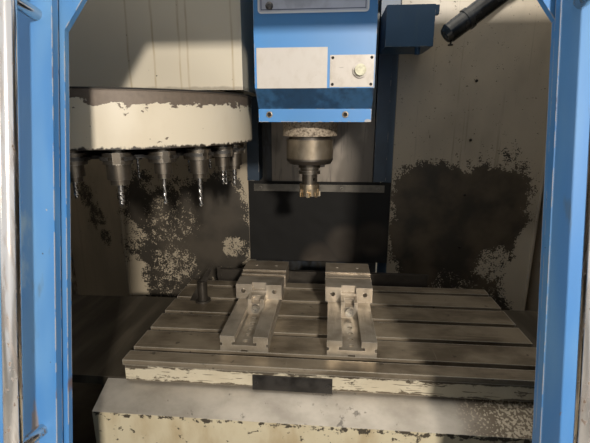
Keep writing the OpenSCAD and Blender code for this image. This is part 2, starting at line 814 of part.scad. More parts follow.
// Fixed jaw with the stepped plates in front of it
module fixed_jaw(x, steps) {
    y1 = vise_y1 - 16;
    box([x - jaw_w / 2, y1 - 84, bed_z], [x + jaw_w / 2, y1, bed_z + jaw_h]);
    step = (fixed_jaw_deep - 84) / steps;
    for (n = [0:steps - 1])
        box([x - jaw_w / 2 + (n % 2) * 3, y1 - 84 - (n + 1) * step, bed_z],
            [x + jaw_w / 2 - (n % 2) * 3, y1 - 84 - n * step, bed_z + jaw_h - 5 - (n % 2) * 4]);
    for (s = [-1, 1])
        translate([x + s * 32, y1 - 42, bed_z + jaw_h]) cylinder(r = 5, h = 1, $fn = 24);
}

module vise_fixed_jaws() color(steel) {
    fixed_jaw(vise_left_x, 2);
    fixed_jaw(vise_right_x, 5);
}

// Sliding jaw: two holes in its face, a dark recess, and the pull block in the channel
module sliding_jaw(x) difference() {
    union() {
        box([x - jaw_w / 2 + 2, slide_y0, bed_z + slide_gap],
            [x + jaw_w / 2 - 2, slide_y1, bed_z + jaw_h - 4]);
        box([x - vise_channel_w / 2 + slide_gap, slide_y0 - 50, bed_z - vise_channel_d + slide_gap],
            [x + vise_channel_w / 2 - slide_gap, slide_y0 + 20, bed_z + 22]);
    }
    for (s = [-1, 1])
        rod_y([x + s * 46, slide_y0 - 1, bed_z + 24], 26, 7);
    box([x - 21, slide_y0 - 1, bed_z + 26], [x + 21, slide_y0 + 16, bed_z + jaw_h + 1]);
    box([x - 13, slide_y0 - 51, bed_z + 8], [x + 13, slide_y0 - 22, bed_z + 23]);
    rod_y([x, slide_y0 - 51, screw_z], 46, vise_screw_r + run_gap);
}

module left_vise_jaw() color(steel) sliding_jaw(vise_left_x);

module right_vise_jaw() color(steel) sliding_jaw(vise_right_x);

// Screw in the pull block, with a hex socket in its head
module vise_screw(x) translate([x, slide_y0 - 62, screw_z]) rotate([-90, 0, 0]) difference() {
    union() {
        cylinder(r = vise_screw_r + 3, h = 10.7);
        cylinder(r = vise_screw_r, h = 54);
    }
    translate([0, 0, -1]) cylinder(r = 5.8, h = 9, $fn = 6);
}

module left_vise_screw() color(steel) vise_screw(vise_left_x);

module right_vise_screw() color(steel) vise_screw(vise_right_x);

// Round post at the table's back left with its thin dark guard plate
module table_post() color(dark) {
    translate([-331, -3, table_z]) {
        cylinder(r = 24, h = 6);
        cylinder(r = 15, h = 67);
    }
    along_y(-4, -1) polygon([[-374, table_z], [-331, table_z], [-318, table_z + 62],
        [-286, table_z + 131], [-318, table_z + 96], [-362, table_z + 22]]);
}

// Head casting: spindle housing in front, carriage on the column's ways behind
module head_casting() color(iron) difference() {
    union() {
        box([head_side_l + 12, -96, head_floor], [head_side_r - 12, cover_back, head_floor + 300]);
        box([-carriage_half, cover_back, head_floor],
            [carriage_half, carriage_back, head_floor + carriage_h]);
        box([-45, carriage_back - 1, head_floor + 120], [45, column_y - 6, head_floor + 240]);
    }
    translate([0, 0, head_floor - 1]) cylinder(r = 62, h = 400);
    for (s = [-1, 1])
        box([s * way_off - way_w / 2 - slide_gap, column_y - way_t - slide_gap, head_floor - 1],
            [s * way_off + way_w / 2 + slide_gap, column_y, head_floor + carriage_h + 1]);
    translate([0, z_screw_y, head_floor - 1]) cylinder(r = screw_r + run_gap, h = carriage_h + 2);
    box([-bearing_w - 6, column_y - 62, head_floor - 1], [bearing_w + 6, column_y, head_floor + 119.9]);
    box([-bearing_w - 6, column_y - 62, head_floor + 240.1],
        [bearing_w + 6, column_y, head_floor + carriage_h + 1]);
}

// Folded sheet cover of the head, a blue box with a chamfered foot, open below and behind
module head_profile(t, open_by) {
    polygon([[-head_front + t, head_top - t],
        [-head_front + t, head_bottom + band_h + chamfer - t / 3],
        [-head_front + chamfer + t, head_bottom + band_h - t / 3],
        [-head_front + chamfer + t, head_bottom - open_by],
        [cover_back + open_by, head_bottom - open_by],
        [cover_back + open_by, head_top - t]]);
}

module head_cover() color(blue) difference() {
    along_x(head_side_l, head_side_r) head_profile(0, 0);
    along_x(head_side_l + cover_t, head_side_r - cover_t) head_profile(cover_t, 1);
    rod_y([button_x, -head_front - 1, button_z], 10, button_hole);
}

// A flat plate on the head cover's front face
module front_plate(x0, x1, z0, z1, r) {
    along_y(-head_front - plate_t, -head_front)
        translate([x0 + r, z0 + r]) offset(r = r) square([x1 - x0 - 2 * r, z1 - z0 - 2 * r]);
}

module blank_plate() color([0.9, 0.9, 0.86])
    box([-115, -head_front - plate_t, table_z + 624], [47, -head_front, table_z + 712]);

module name_plate() color([0.75, 0.76, 0.78]) front_plate(-110, 136, table_z + 783, table_z + 856, 8);

module button_plate() color([0.9, 0.9, 0.86]) difference() {
    union() {
        box([53, -head_front - plate_t, table_z + 626], [152, -head_front, table_z + 695]);
        rod_y([button_x, -head_front - plate_t - 6, button_z], 6, button_r + 4);
    }
    rod_y([button_x, -head_front - 9, button_z], 7.5, button_r + 0.4);
    rod_y([button_x, -head_front - 9, button_z], 12, button_hole);
    for (x = [59, 146], z = [632, 689])
        rod_y([x, -head_front - 2, table_z + z], 1, 2.6);
}

module push_button() color([0.85, 0.82, 0.68]) {
    rod_y([button_x, -head_front - plate_t - 14, button_z], 8, button_r);
    rod_y([button_x, -head_front - plate_t - 8, button_z], 20, button_hole - slide_gap);
}

// Spindle motor on the head's top: flange, ribbed body, fan hood
module spindle_motor() color(dark) {
    translate([0, 0, head_top]) {
        translate([0, 0, 8]) cube([motor_w, motor_w, 16], center = true);
        cylinder(r = motor_w / 2 - 18, h = motor_h - 60);
        for (n = [0:15])
            rotate(n * 22.5) translate([motor_w / 2 - 22, -3, 16]) cube([14, 6, motor_h - 90]);
        translate([0, 0, motor_h - 60]) cylinder(r = motor_w / 2 - 6, h = 60);
    }
}

// Grey plate that closes the column's front below the head and moves with it
module z_panel() color([0.55, 0.54, 0.52])
    box([-178, wall_y + 9, table_z + 85], [carriage_half + 4, wall_y + 12, head_floor]);

// Fixed spindle housing: nose cylinder, ring and cartridge
module spindle_cartridge() color(steel) difference() {
    union() {
        translate([0, 0, z_low + 2]) cylinder(r1 = nose_r - 6, r2 = nose_r, h = 10);
        translate([0, 0, z_low + 12]) cylinder(r = nose_r, h = nose_len - 12);
        translate([0, 0, z_low + nose_len]) cylinder(r = nose_r - 6, h = ring_low - z_low - nose_len);
        translate([0, 0, ring_low]) cylinder(r = ring_r, h = ring_h);
        translate([0, 0, ring_low + ring_h]) cylinder(r = 61.7, h = cartridge_top - ring_low - ring_h);
        translate([0, 0, ring_low + ring_h]) cylinder(r = ring_r, h = head_floor - ring_low - ring_h);
    }
    translate([0, 0, z_low - 1]) cylinder(r = spindle_r + run_gap, h = cartridge_top - z_low + 2);
}

// Turning spindle with the taper that holds the tool
module spindle() color(steel) translate([0, 0, z_low]) difference() {
    union() {
        cylinder(r = spindle_r, h = cartridge_top - z_low);
        for (s = [-1, 1])
            translate([s * (spindle_r - 9), 0, -4]) cube([16, key_w - 2 * slide_gap, 8.2], center = true);
    }
    translate([0, 0, -0.01])
        cylinder(r1 = taper_r + run_gap, r2 = taper_r * 0.57 + run_gap, h = taper_len + 2);
    translate([0, 0, taper_len]) cylinder(r = 11, h = 60);
}

// A tapered tool holder with its gauge face at z = 0: taper and pull stud up, flange down
module holder(neck, neck_h) {
    cylinder(r1 = taper_r, r2 = taper_r * 0.57, h = taper_len);
    translate([0, 0, taper_len]) cylinder(r = 6, h = 22);
    translate([0, 0, taper_len + 18]) cylinder(r = 9, h = 8);
    difference() {
        translate([0, 0, -2 - flange_h]) cylinder(r = flange_r, h = flange_h);
        translate([0, 0, -2 - flange_h / 2 - 4]) difference() {
            cylinder(r = flange_r + 1, h = 8);
            translate([0, 0, -1]) cylinder(r = groove_r, h = 10);
        }
        for (s = [-1, 1])
            translate([s * (flange_r + 2), 0, -2 - flange_h / 2])
                cube([20, key_w, flange_h + 2], center = true);
    }
    translate([0, 0, -2.1]) cylinder(r = taper_r, h = 2.2);
    translate([0, 0, -2 - flange_h - neck_h]) cylinder(r = neck, h = neck_h);
}

module tool_holder() color(steel) translate([0, 0, z_low]) difference() {
    holder(neck_r, neck_len);
    translate([0, 0, -2 - flange_h - neck_len / 2]) rotate([90, 0, 40])
        cylinder(r = 5, h = 60, center = true, $fn = 32);
}

// Face mill with a pocket for each insert
module face_mill() color([0.6, 0.52, 0.38]) {
    top = z_low - 2 - flange_h - neck_len;
    difference() {
        translate([0, 0, top - mill_h]) union() {
            translate([0, 0, 3]) cylinder(r = mill_r - 2, h = mill_h - 3);
            translate([0, 0, mill_h - 14]) cylinder(r = mill_r - 5, h = 14);
        }
        for (n = [0:insert_count - 1])
            rotate(n * 360 / insert_count) translate([mill_r - 9, 0, top - mill_h - 1]) cube([20, 14, 24]);
    }
    for (n = [0:insert_count - 1])
        rotate(n * 360 / insert_count) translate([mill_r - 9, -0.1, top - mill_h]) cube([10, 5, 14]);
}

// Round cream cover over the tools' tapers, with its lid
module drum_cover() color(cream) translate([-drum_x, 0, 0]) difference() {
    union() {
        translate([0, 0, drum_z]) cylinder(r = drum_r, h = drum_h, $fn = 128);
        translate([0, 0, drum_top - 5]) cylinder(r = drum_r + 3, h = 5, $fn = 128);
    }
    translate([0, 0, drum_z - 1]) cylinder(r = drum_r - cover_t, h = drum_h - 4, $fn = 128);
    translate([0, 0, drum_top - 20]) cylinder(r = 40, h = 30);
}

// Carriage that slides on the two rods, carries the drum cover and the turning hub
module magazine_carriage() color(iron) difference() {
    union() {
        translate([-drum_x, 0, drum_top]) cylinder(r = 70, h = carriage_z - drum_top);
        box([-drum_x - 75, rod_rows[0] - 35, carriage_z], [-drum_x + 75, rod_rows[1] + 35, rod_z + 40]);
        translate([-drum_x, 0, rod_z + 40]) cylinder(r = 55, h = 120);
    }
    translate([-drum_x, 0, drum_top - 1]) cylinder(r = 25 + run_gap, h = carriage_z - drum_top + 90);
    for (y = rod_rows)
        rod_x([-drum_x - 80, y, rod_z], 160, rod_r + run_gap);
}

// Turning carousel: hub shaft, plate and one open pocket for each tool
module carousel() color(iron) translate([-drum_x, 0, 0]) {
    seat = pocket_z + 12;
    translate([0, 0, seat + slide_gap]) cylinder(r = 25, h = drum_top + 60 - seat);
    difference() {
        translate([0, 0, pocket_z + 4]) cylinder(r = 60, h = 44);
        translate([0, 0, seat]) cylinder(r = 25 + run_gap, h = 40);
    }
    difference() {
        union() {
            translate([0, 0, pocket_z + 0.3]) cylinder(r = pitch_r - 25, h = 7.4, $fn = 96);
            for (n = [0:pockets - 1])
                rotate(first_tool + n * 360 / pockets) translate([pitch_r, 0, pocket_z + 0.3])
                    cylinder(r = groove_r + 10, h = 7.4);
        }
        for (n = [0:pockets - 1])
            rotate(first_tool + n * 360 / pockets) translate([pitch_r, 0, pocket_z - 1]) {
                cylinder(r = groove_r + slide_gap, h = 10);
                translate([0, -16, 0]) cube([60, 32, 10]);
            }
    }
}

module magazine_holders() color(steel) translate([-drum_x, 0, tool_gauge])
    for (n = [0:pockets - 1])
        rotate(first_tool + n * 360 / pockets) translate([pitch_r, 0, 0]) {
            holder(20 + (n % 3) * 3, 26 + (n % 2) * 8);
            translate([0, 0, -2 - flange_h - 26 - (n % 2) * 8 - 12]) cylinder(r = 14 + (n % 3) * 3, h = 12);
        }

// Drills and end mills in the magazine's holders
module magazine_cutters() color(dark) translate([-drum_x, 0, tool_gauge])
    for (n = [0:pockets - 1])
        rotate(first_tool + n * 360 / pockets) translate([pitch_r, 0, -2 - flange_h - 38 - (n % 2) * 8]) {
            len = 34 + (n % 4) * 12;
            translate([0, 0, -len]) cylinder(r = 4 + (n % 3) * 1.5, h = len, $fn = 24);
            translate([0, 0, -len - 6]) cylinder(r1 = 0.5, r2 = 4 + (n % 3) * 1.5, h = 6, $fn = 24);
        }

// A door leaf as a folded pan in the leaning plane, its inner edge towards +X
module door_leaf() {
    z0 = 40 + door_low;
    z1 = 40 + door_high;
    y0 = -door_gap - door_t;
    difference() {
        box([-door_x0 - door_w, y0, z0], [-door_x0, -door_gap, z1]);
        box([-door_x0 - door_w + 2, y0 + 2, z0 + 2], [-door_x0 - 2, -door_gap + 1, z1 - 2]);
    }
}

// Chrome tube handle on two posts
module door_handle() {
    x = -door_x0 - handle_in;
    y = -door_gap - door_t - handle_off;
    translate([x, y, handle_mid - handle_span / 2 - 60]) cylinder(r = handle_r, h = handle_span + 120);
    for (s = [-1, 1])
        rod_y([x, y, handle_mid + s * handle_span / 2], handle_off, handle_r - 3);
}

// Places of the doors: the right one is the left one mirrored about where they meet
module on_doors() {
    leaning() translate([door_x, 0, 0]) children();
}

module left_door() color(blue) on_doors() door_leaf();

module right_door() color(blue) on_doors() mirror([1, 0, 0]) door_leaf();

module left_handle() color([0.8, 0.8, 0.8]) on_doors() door_handle();

module right_handle() color([0.8, 0.8, 0.8]) on_doors() mirror([1, 0, 0]) door_handle();

// Ball screws of the three axes, each in its two bearing blocks
module x_ball_screw() color([0.7, 0.7, 0.7])
    rod_x([-saddle_len / 2 + 2, table_y, x_screw_z], saddle_len - 2, screw_r);

module y_ball_screw() color([0.7, 0.7, 0.7])
    rod_y([0, y_way_front, y_screw_z], y_way_back - y_way_front, screw_r);

module z_ball_screw() color([0.7, 0.7, 0.7])
    translate([0, z_screw_y, z_way_low - 8]) cylinder(r = screw_r, h = column_top - z_way_low + 8);

base();
leveling_pads();
servo_motors();
column();
column_covers();
left_back_wall();
right_back_wall();
side_walls();
front_frame();
lower_front();
chip_tray();
rubber_apron();
apron_clamp_strip();
side_box();
work_lamp();
magazine_bracket();
magazine_cover();
rear_cabinet();
operator_panel();
e_stop();
saddle();
saddle_front_cover();
x_servo_motor();
fixed_way_covers();
rear_bar();
table();
table_front_plate();
table_way_covers();
mid_way_covers();
vise_bodies();
vise_fixed_jaws();
table_post();
left_vise_jaw();
right_vise_jaw();
left_vise_screw();
right_vise_screw();
head_casting();
head_cover();
blank_plate();
name_plate();
button_plate();
push_button();
spindle_motor();
z_panel();
spindle_cartridge();
spindle();
tool_holder();
face_mill();
drum_cover();
magazine_carriage();
carousel();
magazine_holders();
magazine_cutters();
left_door();
right_door();
left_handle();
right_handle();
x_ball_screw();
y_ball_screw();
z_ball_screw();
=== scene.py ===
from math import cos, pi, radians, sin

import bpy
import numpy as np
from mathutils import Matrix, Vector


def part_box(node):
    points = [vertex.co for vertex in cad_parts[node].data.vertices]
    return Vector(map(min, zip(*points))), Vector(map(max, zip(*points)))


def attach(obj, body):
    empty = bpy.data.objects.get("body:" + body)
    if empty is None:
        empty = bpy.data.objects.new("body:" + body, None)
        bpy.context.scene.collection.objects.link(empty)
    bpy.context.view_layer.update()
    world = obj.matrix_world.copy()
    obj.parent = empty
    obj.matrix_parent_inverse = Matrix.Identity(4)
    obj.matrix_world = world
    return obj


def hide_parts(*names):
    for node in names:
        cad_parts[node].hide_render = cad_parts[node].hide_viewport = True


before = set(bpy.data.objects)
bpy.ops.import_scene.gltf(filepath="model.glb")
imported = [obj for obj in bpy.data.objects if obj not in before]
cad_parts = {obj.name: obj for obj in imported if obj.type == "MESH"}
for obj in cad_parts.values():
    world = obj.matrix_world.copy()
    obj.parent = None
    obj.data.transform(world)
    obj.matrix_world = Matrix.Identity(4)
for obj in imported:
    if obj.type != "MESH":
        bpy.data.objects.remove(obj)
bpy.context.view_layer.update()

# Camera: held at eye height in front of the open doors, looking a little down and left.
# Its place and focal length were solved from the table's slots and the door frame.
photo_width = 590
focal_pixels = 410
camera_place = Vector((0.060, -1.161, 1.438))
look_down = radians(14.2)
look_left = radians(5)
camera_data = bpy.data.cameras.new("camera")
camera = bpy.data.objects.new("camera", camera_data)
camera_data.lens = camera_data.sensor_width * focal_pixels / photo_width
camera_data.clip_start = 0.01
camera.location = camera_place
camera.rotation_euler = (pi / 2 - look_down, 0, look_left)
bpy.context.scene.collection.objects.link(camera)
bpy.context.scene.camera = camera
bpy.context.scene.view_settings.view_transform = "Standard"

# Floor and light: a pale studio floor, a lamp in front to the right and not much above
# the operator's head, which throws the door opening's shadow into the machine, and a sky.
floor_colour = (0.74, 0.73, 0.71)
floor_half = 9.0
bpy.ops.mesh.primitive_plane_add(size=2 * floor_half, location=(0, 0, 0))
studio_floor = bpy.context.object
studio_floor.name = "studio_floor"


class Wire:
    """One socket of a material. Arithmetic on it adds a Math node for each operation."""

    def __init__(self, finish, socket):
        self.finish, self.socket = finish, socket

    def maths(self, operation, first, second=None):
        values = {0: first} if second is None else {0: first, 1: second}
        return self.finish.add("ShaderNodeMath", {"operation": operation}, values)

    def __add__(self, other):
        return self.maths("ADD", self, other)

    def __sub__(self, other):
        return self.maths("SUBTRACT", self, other)

    def __rsub__(self, other):
        return self.maths("SUBTRACT", other, self)

    def __mul__(self, other):
        return self.maths("MULTIPLY", self, other)

    def __truediv__(self, other):
        return self.maths("DIVIDE", self, other)

    def __pow__(self, other):
        return self.maths("POWER", self, other)

    def __abs__(self):
        return self.maths("ABSOLUTE", self)

    def __or__(self, other):
        return self.maths("MAXIMUM", self, other)

    __radd__ = __add__
    __rmul__ = __mul__
    __ror__ = __or__


class Finish:
    """One material, with its place in the machine's own frame as the wires x, y and z."""

    def __init__(self, name):
        self.material = bpy.data.materials.new(name)
        self.material.use_nodes = True
        self.nodes = self.material.node_tree.nodes
        self.links = self.material.node_tree.links
        self.nodes.clear()
        self.place = self.add("ShaderNodeTexCoord", out="Object")
        split = {0: self.place}
        self.x = self.add("ShaderNodeSeparateXYZ", values=split, out="X")
        self.y = self.add("ShaderNodeSeparateXYZ", values=split, out="Y")
        self.z = self.add("ShaderNodeSeparateXYZ", values=split, out="Z")

    def add(self, kind, settings=None, values=None, out=0):
        """Adds a node with its settings, then gives its sockets numbers or wires."""
        node = self.nodes.new(kind)
        for key, value in (settings or {}).items():
            setattr(node, key, value)
        for key, value in (values or {}).items():
            if isinstance(value, Wire):
                self.links.new(value.socket, node.inputs[key])
            else:
                node.inputs[key].default_value = value
        return Wire(self, node.outputs[out])

    def noise(self, size, detail=3.0, stretch=(1, 1, 1), shift=0.0, rough=0.55):
        """Noise from 0 to 1 whose lumps are about size metres, drawn out by stretch."""
        scale = tuple(1 / s for s in stretch)
        spot = self.add("ShaderNodeMapping", None, {0: self.place, 1: (shift,) * 3, 3: scale})
        values = {"Vector": spot, "Scale": 1 / size, "Detail": detail, "Roughness": rough}
        return self.add("ShaderNodeTexNoise", None, values)

    def step(self, value, low, high):
        """0 below low, 1 above high, with a smooth passage between them."""
        settings = {"interpolation_type": "SMOOTHSTEP", "clamp": True}
        return self.add("ShaderNodeMapRange", settings, {0: value, 1: low, 2: high})

    def inside(self, value, low, high, soft):
        """1 where value lies between low and high, 0 outside, over a soft margin."""
        past_low = self.step(value, low - soft, low + soft)
        return past_low * self.step(0.0 - value, -high - soft, -high + soft)

    def away(self, spot_x, spot_z):
        """Distance in metres from a place on the X and Z axes."""
        off_x, off_z = self.x - spot_x, self.z - spot_z
        return (off_x * off_x + off_z * off_z) ** 0.5

    def looks(self, axis):
        """How far a face looks along an axis, from -1 to 1."""
        normal = self.add("ShaderNodeNewGeometry", out="Normal")
        return self.add("ShaderNodeSeparateXYZ", values={0: normal}, out=axis)

    def mix(self, factor, first, second):
        """The first colour where factor is 0 and the second where it is 1."""
        values = {0: factor}
        for key, colour in ((6, first), (7, second)):
            values[key] = colour if isinstance(colour, Wire) else (*colour, 1)
        return self.add("ShaderNodeMix", {"data_type": "RGBA"}, values, out=2)

    def edges(self, width, low=0.01, high=0.12):
        """1 on outer and inner edges within about width metres, 0 on flat faces."""
        rounded = self.add("ShaderNodeBevel", {"samples": 4}, {"Radius": width})
        flat = self.add("ShaderNodeNewGeometry", out="Normal")
        both = {0: rounded, 1: flat}
        along = self.add("ShaderNodeVectorMath", {"operation": "DOT_PRODUCT"}, both, "Value")
        return self.step(1 - along, low, high)

    def close(self, colour, rough, metal=0.0, height=None, depth=0.0, coat=0.0):
        """Ends the material: colour, roughness, metal, and a height in metres for the bump."""
        values = {"Base Color": colour if isinstance(colour, Wire) else (*colour, 1)}
        values.update({"Roughness": rough, "Metallic": metal, "Coat Weight": coat})
        if height is not None:
            bump = {"Height": height, "Distance": depth, "Strength": 1.0}
            values["Normal"] = self.add("ShaderNodeBump", None, bump)
        shader = self.add("ShaderNodeBsdfPrincipled", None, values)
        self.add_end(shader)
        return self.material

    def add_end(self, shader):
        output = self.nodes.new("ShaderNodeOutputMaterial")
        self.links.new(shader.socket, output.inputs["Surface"])


plaster = Finish("studio_plaster")
studio_floor.data.materials.append(plaster.close(floor_colour, 0.9))

lamp_direction = Vector((0.27, -0.92, 0.31)).normalized()
lamp_target = Vector((0, -0.3, 1.35))
lamp_distance = 4.2
middle = Vector((0, 0, 1.0))


def lamp(name, place, target, size, power, warmth=(1, 1, 1)):
    """A square area lamp that looks from its place to its target."""
    light = bpy.data.lights.new(name, "AREA")
    light.size = size
    light.energy = power
    light.color = warmth
    holder = bpy.data.objects.new(name, light)
    holder.location = place
    holder.rotation_euler = (place - target).to_track_quat("Z", "Y").to_euler()
    bpy.context.scene.collection.objects.link(holder)


lamp_place = lamp_target + lamp_direction * lamp_distance
lamp("front_lamp", lamp_place, lamp_target, 0.24, 175, (1, 0.93, 0.84))
lamp("roof_lamp", Vector((0.3, -0.6, 5.2)), middle, 3.0, 38, (1, 0.92, 0.82))
lamp("left_lamp", Vector((-4.5, -2.2, 2.6)), middle, 2.0, 40, (1, 0.95, 0.88))
lamp("back_lamp", Vector((2.5, 4.5, 3.0)), middle, 2.5, 130)

sky = bpy.data.worlds.new("sky")
bpy.context.scene.world = sky
sky.use_nodes = True
sky_nodes, sky_links = sky.node_tree.nodes, sky.node_tree.links
sky_nodes.clear()
sky_light, sky_white = (sky_nodes.new("ShaderNodeBackground") for _ in range(2))
sky_light.inputs["Color"].default_value = (1, 0.92, 0.79, 1)
sky_light.inputs["Strength"].default_value = 0.28
sky_white.inputs["Color"].default_value = (1, 1, 1, 1)
sky_white.inputs["Strength"].default_value = 1.0
rays = sky_nodes.new("ShaderNodeLightPath")
seen = rays.outputs["Is Camera Ray"]
for extra in ("Is Glossy Ray", "Is Transmission Ray"):
    either = sky_nodes.new("ShaderNodeMath")
    either.operation = "MAXIMUM"
    sky_links.new(seen, either.inputs[0])
    sky_links.new(rays.outputs[extra], either.inputs[1])
    seen = either.outputs[0]
sky_choice = sky_nodes.new("ShaderNodeMixShader")
sky_end = sky_nodes.new("ShaderNodeOutputWorld")
sky_links.new(seen, sky_choice.inputs[0])
sky_links.new(sky_light.outputs[0], sky_choice.inputs[1])
sky_links.new(sky_white.outputs[0], sky_choice.inputs[2])
sky_links.new(sky_choice.outputs[0], sky_end.inputs["Surface"])

# Blue enamel of the sheet-metal front, the doors and the side walls: sprayed sheet, rubbed
# pale in upright bands, with dirty smears, chipped edges and rust low on the door frame.
blue_clean = (0.052, 0.205, 0.495)
blue_rubbed = (0.110, 0.275, 0.520)
pale_primer = (0.46, 0.42, 0.36)
rust_brown = (0.135, 0.075, 0.042)
grime_green = (0.085, 0.130, 0.150)
cloud_blue = (0.10, 0.20, 0.33)
rust_pale = (0.27, 0.20, 0.15)
nick_dark = (0.035, 0.04, 0.05)
black_oil_film = (0.030, 0.026, 0.019)


def dress(material, *names):
    """Gives the CAD nodes of these names the material."""
    for name in names:
        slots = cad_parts[name].data.materials
        slots.clear()
        slots.append(material)


def blue_enamel(name, rubbed=1.0, chips=0.5, rust=0.5, smears=0.5, clean=blue_clean,
                edge=0.0035, oil_and_shade=None, film=black_oil_film, marks=()):
    """Blue paint: how much is rubbed, chipped at its edges, rusty and smeared, from 0 to 1.
    Where the mask function gives 1, the paint is hidden under the film's colour: oil on the column and
    the side walls, painted shade on the head's faces that look down. Each mark is its place along X and
    Z, its half width and half height, and its colour."""
    paint = Finish(name)
    bands = paint.step(paint.noise(0.07, 2, (1, 1, 9)), 0.40, 0.68) * rubbed
    colour = paint.mix(bands, clean, blue_rubbed)
    cloud = paint.noise(0.35, 3, shift=3.1)
    colour = paint.mix(paint.step(cloud, 0.45, 0.75) * 0.35, colour, cloud_blue)
    smear = paint.step(paint.noise(0.030, 4, (1, 1, 7), 7.7), 0.62, 0.74) * smears
    colour = paint.mix(smear * 0.75, colour, grime_green)
    rim = paint.edges(edge)
    ragged = paint.noise(0.018, 5, (1, 1, 2.5), 1.3)
    chipped = paint.step(rim * 0.26 + ragged, 0.80 - 0.12 * chips, 0.83 - 0.12 * chips)
    colour = paint.mix(chipped, colour, pale_primer)
    low = paint.step(0.0 - paint.z, -1.35, -0.75)
    blots = paint.noise(0.055, 6, (1, 1, 1.6), 5.2, 0.6) + rim * 0.10 + low * 0.05
    rusty = paint.step(blots, 0.80 - 0.10 * rust, 0.83 - 0.10 * rust)
    tone = paint.mix(paint.noise(0.006, 3), rust_brown, rust_pale)
    colour = paint.mix(rusty, colour, tone)
    specks = paint.step(paint.noise(0.0085, 1, shift=9.4), 0.80, 0.82)
    colour = paint.mix(specks, colour, nick_dark)
    for mark_x, mark_z, half_width, half_height, mark_colour in marks:
        across = abs(paint.x - mark_x) / half_width
        up = abs(paint.z - mark_z) / half_height
        spread = (across * across + up * up) ** 0.5 + (ragged - 0.5) * 1.8
        colour = paint.mix(0.85 - 0.85 * paint.step(spread, 0.55, 1.1), colour, mark_colour)
    # The film is oil on the column and side walls, and painted shade on the head.
    if oil_and_shade:
        covered = oil_and_shade(paint)
        oil_and_shade_blots = paint.step(cloud + ragged * 0.3, 0.62, 0.72)
        blotted = paint.mix(oil_and_shade_blots, film, tuple(0.30 * c for c in film))
        colour = paint.mix(covered * (0.82 + 0.3 * ragged), colour, blotted)
    rough = 0.40 + bands * 0.12 + rusty * 0.35 + smear * 0.1
    relief = paint.noise(0.0032, 1) * 0.12 - (chipped | rusty) * 0.9 - specks * 0.5
    return paint.close(colour, rough, rusty * 0.15, relief, 0.0003)


door_marks = [(-0.470, 1.115, 0.012, 0.030, (0.20, 0.13, 0.08)),
              (-0.348, 1.020, 0.006, 0.018, (0.16, 0.09, 0.05)),
              (-0.395, 0.955, 0.006, 0.055, (0.22, 0.17, 0.13)),
              (0.430, 1.165, 0.020, 0.018, (0.10, 0.19, 0.19)),
              (-0.430, 1.260, 0.030, 0.080, (0.24, 0.38, 0.52))]
dress(blue_enamel("front_enamel", 1.0, 0.75, 0.55, 0.75, marks=door_marks),
      "front_frame", "left_door", "right_door")
side_low, side_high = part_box("side_walls")
side_skin = 0.002
oil_back_y = 0.660
old_blue = (0.06, 0.16, 0.34)
side_film = (0.430, 0.360, 0.262)


def inside_walls(paint):
    """1 on the side walls' inner faces, which lie a sheet's thickness in from the outer ones."""
    return paint.inside(paint.x, side_low[0] + side_skin, side_high[0] - side_skin, 0.0005)


def column_face(paint):
    """1 on the column's front part, which faces the working space and is splashed with oil."""
    return paint.step(0.0 - paint.y, -oil_back_y, 0.001 - oil_back_y)


dress(blue_enamel("lower_enamel", 0.6, 0.35, 0.25, 0.4), "lower_front")
dress(blue_enamel("side_enamel", 0.6, 0.35, 0.25, 0.4, oil_and_shade=inside_walls, film=side_film),
      "side_walls")
dress(blue_enamel("casting_enamel", 0.35, 0.3, 0.35, 0.9, old_blue), "base")
dress(blue_enamel("column_enamel", 0.35, 0.3, 0.35, 0.9, old_blue, oil_and_shade=column_face), "column")
# Painted shade: the side box's blue is dark, as the shade it sits in.
dress(blue_enamel("box_enamel", 0.0, 0.2, 0.1, 0.3, (0.040, 0.090, 0.150)), "side_box")

# Chromed tube handles of the doors: polished steel, dulled and browned in long upright streaks, which are
# wear from hands and coolant and painted brown reflection, and pitted with rust towards their lower ends.
chrome = Finish("worn_chrome")
# The brown upright streaks are wear and painted reflection together.
chrome_wear_and_reflection = chrome.step(chrome.noise(0.010, 4, (1, 1, 40)), 0.45, 0.68)
chrome_low = chrome.step(0.0 - chrome.z, -1.3, -0.95)
chrome_pits = chrome.step(chrome.noise(0.006, 4, (1, 1, 2), 4.4) + chrome_low * 0.08, 0.66, 0.72)
chrome_colour = chrome.mix(chrome_wear_and_reflection * 0.6, (0.66, 0.63, 0.60), (0.34, 0.26, 0.20))
chrome_colour = chrome.mix(chrome_pits * 0.8, chrome_colour, (0.14, 0.085, 0.05))
chrome_rough = 0.16 + chrome_wear_and_reflection * 0.16 + chrome_pits * 0.4
dress(chrome.close(chrome_colour, chrome_rough, 1.0 - chrome_pits * 0.6),
      "left_handle", "right_handle")

# Cream back walls of the working space: painted sheet under years of oil mist. A black
# stain with a ragged, speckled edge lies where the chips hit, and the foot shows cream again.
cream_shade = (0.580, 0.500, 0.375)
cream_bright = (0.720, 0.630, 0.480)
oil_black = (0.050, 0.042, 0.031)
oil_brown = (0.135, 0.104, 0.068)
stain_top_right = 1.245
stain_top_left = 1.190
stain_foot = 0.86


